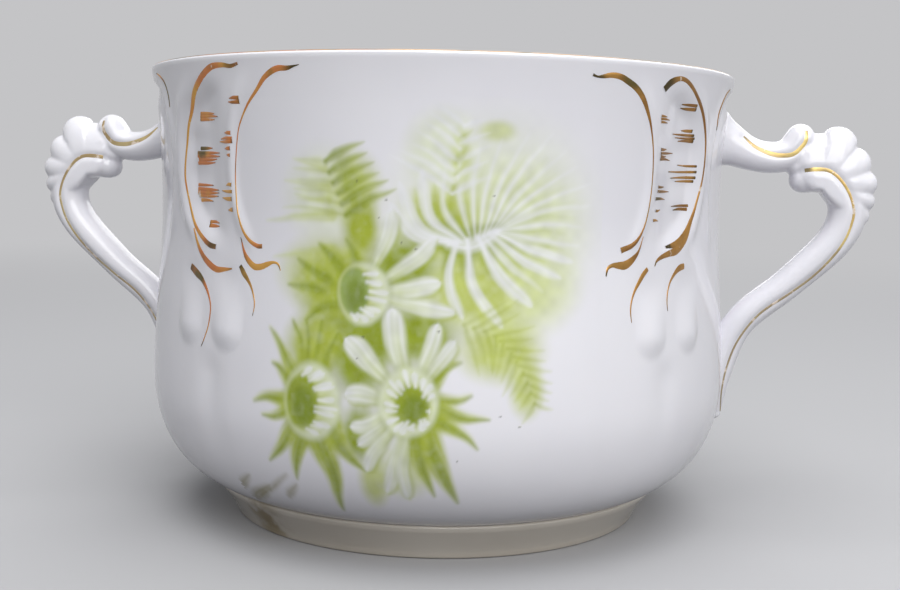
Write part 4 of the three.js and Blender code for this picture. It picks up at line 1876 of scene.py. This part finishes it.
@dataclass(frozen=True)
class Blossom:
    """Daisy-like flower: a ribbed ball with a green eye, white straps and pointed leaves.

    The eye's place is from the centre, and the ribs are a first and a last angle and a number. A strap
    or leaf is a row of angle, reach, start and width.
    """

    centre: Pair
    size: Pair
    eye: Pair
    eye_size: Pair
    eye_tint: Tint
    ribs: tuple[float, float, int]
    straps: Rows
    leaves: Rows

    LEAF_EDGE = Brush(Tip.LEAF, Tint.OLIVE, Tint.LIGHT, 0.9, 0.6)
    LEAF_BODY = Brush(Tip.LEAF, Tint.OLIVE, Tint.GREEN, 0.85, 0.55)
    LEAF_VEIN = Brush(Tip.LEAF, Tint.GREEN, Tint.DEEP, 0.6, 0.45)
    STRAP_SHADE = Brush(Tip.PETAL, Tint.GREEN, Tint.OLIVE, 0.7, 0.5)
    STRAP = Brush(Tip.PETAL, Tint.MIST, Tint.WHITE, 0.95, 0.45, 0.0)
    STRAP_FOLD = Brush(Tip.RAY, Tint.OLIVE, Tint.MIST, 0.5, 0.4)
    RIB_SHADE = Brush(Tip.RAY, Tint.GREEN, Tint.PALE, 0.6)
    RIB = Brush(Tip.PETAL, Tint.WHITE, Tint.WHITE, 0.85)
    SWAY = 6.0
    ROOTED = 1.0
    LEAF_HEM = 0.8
    LEAF_SHARES = (0.85, 0.4)
    VEIN_SHIFT = (0.15, -0.2)
    SHADE_HEM = 0.5
    SHADE_SHIFT = (0.25, -0.3)
    FOLD_WIDTH = 0.7
    FOLD_SHIFT = (0.2, -0.25)
    BALL_SHARES = (1.22, 1.1, 0.95)
    EYE_SHARES = (1.35, 1.15)
    PUPIL = (0.1, -0.15)
    RIB_SWAY = 5.0
    RIB_ROOTS = (0.85, 1.1)
    RIB_ENDS = (0.72, 0.92)
    RIB_WIDTHS = (0.6, 1.0)
    RIB_SHADE_WIDTH = 0.5
    RIB_SHADE_SHIFT = 0.4

    def ray(self, picture: Picture, angle: float, reach: float, start: float) -> Array:
        """Line of one leaf or strap, swayed a little by the hand.

        Args:
            picture: Picture that it is for.
            angle: Its angle round the centre.
            reach: Where it ends.
            start: Where it comes out of the ball.

        Returns:
            Three points.
        """
        sway = picture.draw.uniform(-self.SWAY, self.SWAY)
        places = ((angle, start - self.ROOTED), (angle + sway, (start + reach) / 2), (angle, reach))
        return np.array([polar(self.centre, *place) for place in places])

    def blades(self, picture: Picture) -> None:
        """Paint the pointed leaves round the ball, each with a darker vein.

        Args:
            picture: Picture to paint in.
        """
        body, vein = self.LEAF_SHARES
        for angle, reach, start, width in self.leaves:
            line = self.ray(picture, angle, reach, start)
            lower = line + self.VEIN_SHIFT
            picture.stroke(line, width + self.LEAF_HEM, self.LEAF_EDGE)
            picture.stroke(lower, width * body, self.LEAF_BODY)
            picture.stroke(lower, width * vein, self.LEAF_VEIN)

    def petals(self, picture: Picture) -> None:
        """Paint the white straps, set off by green under their lower edge.

        Args:
            picture: Picture to paint in.
        """
        for angle, reach, start, width in self.straps:
            line = self.ray(picture, angle, reach, start)
            picture.stroke(line + self.SHADE_SHIFT, width + self.SHADE_HEM, self.STRAP_SHADE)
            picture.stroke(line, width, self.STRAP)
            picture.stroke(line + self.FOLD_SHIFT, self.FOLD_WIDTH, self.STRAP_FOLD)

    def ball(self, picture: Picture) -> None:
        """Paint the ball with its eye, its ring and its ribs of florets.

        Args:
            picture: Picture to paint in.
        """
        centre, size, eye_size = np.array(self.centre), np.array(self.size), np.array(self.eye_size)
        eye = centre + self.eye
        shadow, rim, inside = (size * share for share in self.BALL_SHARES)
        ring, iris = (eye_size * share for share in self.EYE_SHARES)
        picture.wash(centre, shadow, Tint.GREEN, cover=0.6, hard=0.65)
        picture.wash(centre, rim, Tint.MIST, cover=0.9, hard=0.75)
        picture.wash(centre, inside, Tint.LIGHT, cover=0.5, hard=0.5)
        picture.wash(eye, ring, Tint.OLIVE, cover=0.9, hard=0.6)
        picture.wash(eye, iris, self.eye_tint, cover=0.95, hard=0.75)
        picture.wash(eye + np.array(self.PUPIL) * eye_size, eye_size, Tint.DEEP, cover=0.7, hard=0.4)
        for angle in np.linspace(*self.ribs):
            turned = angle + picture.draw.uniform(-self.RIB_SWAY, self.RIB_SWAY)
            inner = polar(eye, turned, eye_size * picture.draw.uniform(*self.RIB_ROOTS))
            outer = polar(centre, turned, size * picture.draw.uniform(*self.RIB_ENDS))
            rib = np.array([inner, outer])
            shade = rib + polar((0, 0), turned + 90, self.RIB_SHADE_SHIFT)
            picture.stroke(shade, self.RIB_SHADE_WIDTH, self.RIB_SHADE)
            picture.stroke(rib, picture.draw.uniform(*self.RIB_WIDTHS), self.RIB)

    def paint(self, picture: Picture) -> None:
        """Paint the whole flower, from its leaves up to its ball.

        Args:
            picture: Picture to paint in.
        """
        self.blades(picture)
        self.petals(picture)
        self.ball(picture)


@dataclass(frozen=True)
class Frond:
    """Fern frond: a stem with rows of leaflets, dark at the stem and fading outwards.

    A row of leaflets is their angle against the stem, their length at the root and at the tip of the
    stem, and their number.
    """

    stem: tuple[Pair, ...]
    rows: tuple[tuple[float, float, float, int], ...]
    width: float
    brush: Brush

    STEM_STEPS = 60
    SPAN = (0.04, 0.97)
    LENGTHS = (0.85, 1.15)
    BEND = (0.97, 1.02)
    VEIN_COVER = 0.4
    VEIN_WIDTH = 0.45

    def paint(self, picture: Picture) -> None:
        """Paint every leaflet, with a vein where it is green.

        Args:
            picture: Picture to paint in.
        """
        fine = smooth_line(self.stem, self.STEM_STEPS)
        vein = Brush(Tip.LEAFLET, Tint.DEEP, self.brush.root_tint, self.VEIN_COVER * self.brush.cover)
        for angle, long, short, count in self.rows:
            for share in np.linspace(*self.SPAN, count):
                index = int(share * (self.STEM_STEPS - 2))
                root, run = fine[index], fine[index + 1] - fine[index]
                heading = math.degrees(math.atan2(run[1], run[0]))
                length = (long + (short - long) * share) * picture.draw.uniform(*self.LENGTHS)
                halfway, end = (heading + angle * bend for bend in self.BEND)
                line = [root, polar(root, halfway, length / 2), polar(root, end, length)]
                picture.stroke(line, self.width, self.brush)
                if self.brush.root_tint is not Tint.WHITE:
                    picture.stroke(line, self.width * self.VEIN_WIDTH, vein)


@dataclass(frozen=True)
class RayFan:
    """Big pale flower: long white rays that curve out of a bright hub, over a green mist.

    A ray is a row of angle, reach, bend, width and the cover of the green beside it.
    """

    hub: tuple[Pair, ...]
    rays: Rows

    BROAD = 1.1
    BROAD_RAY = Brush(Tip.PETAL, Tint.WHITE, Tint.WHITE, 0.9, 0.36, 0.2)
    THIN_RAY = Brush(Tip.RAY, Tint.WHITE, Tint.WHITE, 0.75, 0.36, 0.5)
    HUB = Brush(Tip.PETAL, Tint.WHITE, Tint.WHITE, 0.9, 0.6)
    HUB_WIDTH = 1.7
    CROWDING = 1.6
    GREEN_TURN = 5
    GREEN_SHARES = (0.4, 0.8)
    GREEN_WIDTH = 1.9

    def root(self, angle: float) -> Array:
        """Place on the hub where a ray starts; the lower rays are crowded towards its start.

        Args:
            angle: Angle of the ray.

        Returns:
            The place.
        """
        first, last = np.array(self.hub[0]), np.array(self.hub[-1])
        turn = math.radians(angle if angle > 0 else self.CROWDING * angle)
        return first + (0.5 + 0.5 * math.cos(turn)) * (last - first)

    def paint(self, picture: Picture) -> None:
        """Paint the green between the rays, the rays and the hub.

        Args:
            picture: Picture to paint in.
        """
        for angle, reach, bend, width, green in self.rays:
            root, beside = self.root(angle), angle - self.GREEN_TURN
            halfway, end = (reach * share for share in self.GREEN_SHARES)
            gap = [root, polar(root, beside + bend, halfway), polar(root, beside, end)]
            mist = Brush(Tip.LEAF, Tint.GREEN, Tint.LIGHT, green, soft=0.5, fade=0.5)
            picture.stroke(gap, width * self.GREEN_WIDTH, mist)
        for angle, reach, bend, width, _ in self.rays:
            root = self.root(angle)
            line = [root, polar(root, angle + bend, reach / 2), polar(root, angle, reach)]
            picture.stroke(line, width, self.BROAD_RAY if width > self.BROAD else self.THIN_RAY)
        picture.stroke(self.hub, self.HUB_WIDTH, self.HUB)


@dataclass
class FlowerSpray:
    """Printed spray on the front panel: a thin patch of the glaze that holds its colours.

    Places are arc length from the panel's middle and height. A wash is a middle, its half sizes, a tint
    and a cover. A streak is a start, an end and a width.
    """

    bowl: Bowl
    arc: Pair = (-33.0, 24.0)
    heights: Pair = (5.8, 64.0)
    pitch: float = 0.2
    degree: float = 0.7767
    lift: float = 0.014
    border: float = 3.0
    seed: int = 11
    blossoms: tuple[Blossom, ...] = (
        Blossom(
            (-16.6, 23.6), (4.2, 5.2), (-1.4, -0.1), (2.3, 3.4), Tint.GREEN, (-70, 88, 11),
            straps=(),
            leaves=(
                (127, 11.4, 4.8, 1.8), (143, 7.8, 4.8, 1.6), (-176, 9.2, 4.2, 1.9), (-163, 8.0, 4.2, 1.6),
                (-130, 11.2, 4.8, 2.2), (-107, 11.2, 4.8, 3.0), (-80, 15.2, 4.8, 3.8),
                (-49, 11.2, 4.6, 3.2), (107, 10.8, 5.0, 1.5), (96, 10.4, 5.0, 1.5), (84, 10.6, 5.0, 1.5),
                (70, 9.8, 4.8, 1.9))),
        Blossom(
            (-9.8, 37.8), (3.5, 4.1), (-1.2, 0.2), (1.9, 2.9), Tint.SAGE, (-100, 50, 8),
            straps=(
                (72, 11.4, 4.2, 1.9), (38, 11.6, 4.0, 2.0), (9, 10.0, 3.6, 2.2), (-10, 12.0, 3.8, 1.9)),
            leaves=(
                (176, 11.0, 3.4, 4.2), (157, 10.4, 3.4, 3.8), (-156, 8.8, 3.6, 3.6), (136, 9.0, 3.4, 3.4),
                (112, 7.4, 3.6, 2.6))),
        Blossom(
            (-3.7, 24.3), (3.9, 4.6), (0.5, -0.3), (2.1, 2.4), Tint.GREEN, (20, 340, 17),
            straps=(
                (101, 12.0, 4.0, 2.7), (137, 11.4, 4.4, 2.7), (70, 10.6, 4.2, 2.0), (54, 9.8, 4.4, 1.7),
                (176, 8.2, 3.8, 2.3), (-155, 8.2, 4.0, 1.8), (-137, 8.6, 4.6, 1.6),
                (-120, 10.8, 4.8, 1.6), (-103, 12.6, 5.0, 1.6), (-90, 12.8, 4.8, 1.5)),
            leaves=(
                (9, 7.8, 3.6, 1.5), (-11, 10.2, 3.8, 2.0), (-33, 10.4, 4.0, 2.2), (-64, 15.0, 4.4, 4.0),
                (-75, 12.8, 4.6, 3.0), (40, 8.4, 4.0, 2.0))))
    fan: RayFan = RayFan(
        ((1.0, 44.2), (3.8, 44.1), (7.2, 46.0)),
        rays=(
            (148, 9.6, 20, 1.5, 0.9), (134, 10.6, 24, 1.5, 1.0), (120, 10.2, 24, 1.4, 1.0),
            (107, 9.4, 20, 1.1, 0.9), (97, 11.4, 8, 0.8, 0.35), (87, 11.8, 6, 0.8, 0.3),
            (77, 12.4, 4, 0.8, 0.25), (66, 14.4, 5, 0.9, 0.25), (56, 15.4, 6, 0.9, 0.25),
            (46, 14.4, 6, 0.8, 0.2), (36, 14.6, 6, 0.8, 0.2), (25, 14.8, 6, 0.8, 0.25),
            (14, 13.8, 8, 0.9, 0.35), (3, 12.2, 4, 1.0, 0.45), (-9, 12.0, -2, 1.1, 0.7),
            (-19, 11.8, -4, 1.2, 0.75), (-30, 11.4, -6, 1.2, 0.8), (-41, 10.8, -6, 1.1, 0.8),
            (-50, 11.6, -8, 1.6, 0.9), (-66, 12.0, -14, 1.4, 0.95), (-84, 9.6, -16, 1.2, 0.9)))
    fronds: tuple[Frond, ...] = (
        Frond(((-12.4, 47.4), (-13.9, 51.0), (-15.4, 54.6)),
              ((62, 8.6, 4.0, 6),), 1.2,
              Brush(Tip.LEAFLET, Tint.LIGHT, Tint.PALE, 0.42, 0.35, 0.4)),
        Frond(((-12.4, 47.4), (-13.9, 51.0), (-15.4, 54.6)),
              ((-84, 8.2, 5.0, 6),), 1.8,
              Brush(Tip.LEAFLET, Tint.GREEN, Tint.OLIVE, 0.78, 0.35, 0.4)),
        Frond(((2.6, 34.4), (7.0, 32.8), (10.4, 28.8), (12.8, 23.4)),
              ((-54, 6.0, 2.6, 11), (46, 6.4, 2.6, 12)), 1.1,
              Brush(Tip.LEAFLET, Tint.OLIVE, Tint.LIGHT, 0.45, 0.35, 0.4)),
        Frond(((1.4, 50.4), (1.9, 54.6), (2.9, 59.4)),
              ((66, 8.4, 4.6, 7), (-58, 5.0, 3.0, 5)), 1.0,
              Brush(Tip.LEAFLET, Tint.WHITE, Tint.WHITE, 0.7, 0.35, 0.4)))
    washes: tuple[tuple[Pair, Pair, Tint, float], ...] = (
        ((7.0, 47.0), (18.0, 17.0), Tint.MIST, 0.8), ((9.0, 46.0), (13.0, 11.0), Tint.PALE, 0.5),
        ((0.0, 47.0), (7.0, 6.0), Tint.LIGHT, 1.0), ((-0.6, 46.6), (4.6, 4.4), Tint.OLIVE, 0.7),
        ((4.0, 39.6), (5.0, 5.0), Tint.OLIVE, 0.6), ((9.0, 39.0), (12.0, 8.5), Tint.PALE, 0.95),
        ((4.0, 38.5), (8.0, 6.5), Tint.LIGHT, 0.9), ((8.0, 31.0), (7.4, 5.4), Tint.LIGHT, 0.9),
        ((11.4, 26.0), (3.0, 5.0), Tint.LIGHT, 0.8), ((-15.5, 50.0), (8.0, 8.0), Tint.MIST, 0.7),
        ((-11.6, 51.0), (5.0, 6.0), Tint.LIGHT, 0.8), ((-14.5, 40.0), (9.6, 6.5), Tint.LIGHT, 0.9),
        ((-13.8, 38.0), (7.5, 6.5), Tint.OLIVE, 0.95), ((-10.4, 46.0), (3.6, 5.4), Tint.OLIVE, 1.0),
        ((-4.6, 41.6), (6.0, 5.2), Tint.GREEN, 1.0), ((-10.0, 32.4), (9.6, 5.6), Tint.GREEN, 1.0),
        ((-16.0, 31.0), (6.2, 5.6), Tint.OLIVE, 0.95), ((-10.0, 28.6), (4.8, 5.8), Tint.GREEN, 1.0),
        ((-9.8, 20.0), (3.8, 5.2), Tint.GREEN, 1.0), ((-2.4, 32.8), (6.6, 5.0), Tint.GREEN, 1.0),
        ((-8.2, 13.4), (2.8, 4.8), Tint.LIGHT, 0.8), ((-4.0, 15.4), (5.0, 5.0), Tint.PALE, 0.7),
        ((0.0, 56.0), (6.0, 6.5), Tint.MIST, 0.8), ((7.0, 58.4), (3.2, 1.9), Tint.LIGHT, 0.6),
        ((2.4, 55.2), (1.8, 4.6), Tint.PALE, 0.9))
    faint_leaves: Streaks = (
        ((-14.6, 47.6), (-24.6, 46.6), 1.5), ((-15.0, 51.0), (-21.5, 51.8), 1.0),
        ((-14.4, 43.0), (-23.4, 41.8), 1.8), ((-15.0, 49.4), (-20.0, 50.0), 1.0),
        ((-15.4, 53.4), (-20.0, 54.6), 0.9))
    dabs: Streaks = (
        ((1.8, 54.6), (3.2, 56.6), 1.0), ((1.7, 53.0), (2.6, 53.9), 0.7), ((1.4, 51.0), (2.4, 52.3), 0.9),
        ((2.4, 57.6), (3.8, 58.5), 0.6))
    stains: Streaks = (
        ((-31.4, 7.4), (-25.2, 10.9), 2.2), ((-28.6, 8.4), (-25.4, 10.4), 1.5),
        ((-32.0, 9.4), (-28.8, 11.9), 1.6), ((-25.6, 10.0), (-21.4, 13.0), 0.7),
        ((-22.4, 9.6), (-20.2, 11.8), 1.1))
    specks: int = 12
    speck_places: tuple[Pair, Pair] = ((-18, 12), (12, 52))
    speck_sizes: Pair = (0.16, 0.3)
    speck_cover: float = 0.65

    FAINT_LEAF = Brush(Tip.LEAF, Tint.LIGHT, Tint.PALE, 0.7, 0.5)
    DAB = Brush(Tip.LEAFLET, Tint.OLIVE, Tint.LIGHT, 0.6, 0.4)
    STAIN = Brush(Tip.LEAFLET, Tint.STAIN, Tint.STAIN, 0.8, 0.7)

    def streak(self, picture: Picture, streaks: Streaks, brush: Brush) -> None:
        """Paint some straight strokes with one brush."""
        for start, end, width in streaks:
            picture.stroke([start, end], width, brush)

    def paint(self, points: Array) -> Array:
        """Paint the spray.

        Args:
            points: Rows of arc length and height.

        Returns:
            Colour and cover for each row.
        """
        picture = Picture(points, self.seed)
        for centre, size, tint, cover in self.washes:
            picture.wash(centre, size, tint, cover)
        self.streak(picture, self.faint_leaves, self.FAINT_LEAF)
        for flower in (self.fan, *self.fronds, *self.blossoms):
            flower.paint(picture)
        self.streak(picture, self.dabs, self.DAB)
        self.streak(picture, self.stains, self.STAIN)
        picture.mottle()
        for _ in range(self.specks):
            place = picture.draw.uniform(*self.speck_places)
            picture.wash(place, picture.draw.uniform(*self.speck_sizes, 2), Tint.SPECK, self.speck_cover)
        return picture.paint

    def build(self, glaze: Material) -> None:
        """Lay the patch on the wall, its border sunk out of sight, and colour its points.

        Args:
            glaze: The finish that shows the colours.
        """
        low, high = np.column_stack([self.arc, self.heights])
        across, up = (round(steps) for steps in (high - low) / self.pitch)
        deselect()
        bpy.ops.mesh.primitive_grid_add(x_subdivisions=across, y_subdivisions=up, size=2 * MM)
        piece = Piece("flower_spray")
        points = low + (piece.points()[:, :2] + 1) / 2 * (high - low)
        inset = np.minimum(points - low, high - points).min(axis=1)
        lift = self.lift * (2 * soft_step(inset, 0, self.border) - 1)
        bearing = self.bowl.mould.turn + points[:, 0] / self.degree
        piece.place(self.bowl.surface(bearing, points[:, 1], lift))
        colours = piece.object.data.color_attributes.new(SPRAY, "FLOAT_COLOR", "POINT")
        colours.data.foreach_set("color", self.paint(points).ravel())
        piece.finish(glaze, Slot.PORCELAIN)


@dataclass(frozen=True)
class Lamp:
    """Soft square lamp that faces the middle of the cup. Its place and its side are in metres."""

    name: str
    place: Triple
    side: float
    watts: float
    target: Triple = (0, 0, 0.035)

    def hang(self) -> None:
        """Add the lamp to the scene."""
        aim = Vector(self.target) - Vector(self.place)
        turn = aim.to_track_quat("-Z", "Y").to_euler()
        bpy.ops.object.light_add(type="AREA", location=self.place, rotation=turn)
        lamp = bpy.context.object
        lamp.name = self.name
        lamp.data.size = self.side
        lamp.data.energy = self.watts


@dataclass
class Studio:
    """Pale floor, soft lamps and the camera at the viewing angle of the reference.

    The camera's place is in millimetres, its angles in degrees; the floor's sizes are in metres.
    """

    panel_turn: float
    camera_distance: float = 195.0
    camera_height: float = 53.5
    lens: float = 48.48
    nearest: float = 0.01
    yaw: float = 0.49
    pitch: float = 5.88
    roll: float = 1.13
    floor_size: float = 6.0
    floor_sides: int = 96
    floor_fade: Pair = (0.12, 0.7)
    backdrop: Colour = linear(196, 196, 198)
    ground: Colour = linear(180, 180, 182)
    table: Colour = linear(104, 104, 106)
    daylight: Colour = (0.95, 0.97, 1.0, 1.0)
    daylight_strength: float = 0.32
    lamps: tuple[Lamp, ...] = (
        Lamp("overhead_lamp", (0.05, -0.15, 0.75), 0.7, 4.5),
        Lamp("front_lamp", (0.28, -0.72, 0.45), 0.6, 4.2),
        Lamp("left_lamp", (-0.6, -0.55, 0.45), 0.5, 0.3),
        Lamp("right_lamp", (0.7, -0.4, 0.35), 0.5, 0.9),
        Lamp("back_lamp", (0.1, 0.7, 0.5), 0.6, 2.0))

    def floor(self) -> None:
        """Wide floor, pale to the eye and dark to the light, that fades into the backdrop with distance."""
        deselect()
        bpy.ops.mesh.primitive_circle_add(
            vertices=self.floor_sides, radius=self.floor_size, fill_type="NGON")
        floor = Piece("floor").object
        shader = Shader("pale_floor")
        shown = shader.seen()
        far = shader.band(shader.away((0, 0, 0)), *self.floor_fade)
        matt = shader.node("ShaderNodeBsdfDiffuse", Color=shader.mix(shown, self.table, self.ground))
        glow = shader.node("ShaderNodeEmission", Color=self.backdrop)
        shader.blend(shader.math("MULTIPLY", far, shown), matt, glow, shader.output)
        floor.data.materials.append(shader.material)

    def world(self) -> None:
        """Even daylight, shown to the camera and in reflections as the backdrop's colour."""
        world = bpy.data.worlds.new("studio")
        world.use_nodes = True
        bpy.context.scene.world = world
        tree = Tree(world.node_tree)
        nodes = world.node_tree.nodes
        nodes["Background"].inputs["Color"].default_value = self.daylight
        nodes["Background"].inputs["Strength"].default_value = self.daylight_strength
        shown = tree.node("ShaderNodeBackground", Color=self.backdrop)
        tree.blend(tree.seen(), nodes["Background"], shown, nodes["World Output"])

    def camera(self) -> None:
        """Camera facing the front panel, a little above the cup's middle."""
        turn = math.radians(self.panel_turn)
        place = Vector((math.sin(turn), -math.cos(turn), 0)) * self.camera_distance * MM
        place.z = self.camera_height * MM
        heading = Matrix.Rotation(turn - math.radians(self.yaw), 4, "Z")
        tilt = Matrix.Rotation(math.pi / 2 - math.radians(self.pitch), 4, "X")
        bank = Matrix.Rotation(math.radians(self.roll), 4, "Z")
        bpy.ops.object.camera_add()
        camera = bpy.context.object
        camera.matrix_world = Matrix.Translation(place) @ heading @ tilt @ bank
        camera.data.lens = self.lens
        camera.data.clip_start = self.nearest
        bpy.context.scene.camera = camera

    def build(self) -> None:
        """Set the whole stage."""
        self.floor()
        self.world()
        for lamp in self.lamps:
            lamp.hang()
        self.camera()
        bpy.context.scene.view_settings.view_transform = "Standard"


def main() -> None:
    """Build the cup piece by piece, set the stage and note the sizes."""
    logging.basicConfig(level=logging.INFO, format="%(name)s: %(message)s")
    lip_height, height = levels("rim_gilding")
    bowl = Bowl(height, lip_height, foot_height=levels("foot_ring")[1])
    glaze, gold = Glaze().material(), Gilding().material()
    bowl.build(glaze)
    FootRing(bowl).build(FootGlaze().material())
    LipGilding(bowl).build(gold)
    Handle(bowl).build(glaze, HandleGilding().material())
    ColumnGilding(bowl).build(gold)
    FlowerSpray(bowl).build(PrintedGlaze().material())
    Studio(bowl.mould.turn).build()


if __name__ == "__main__":
    main()
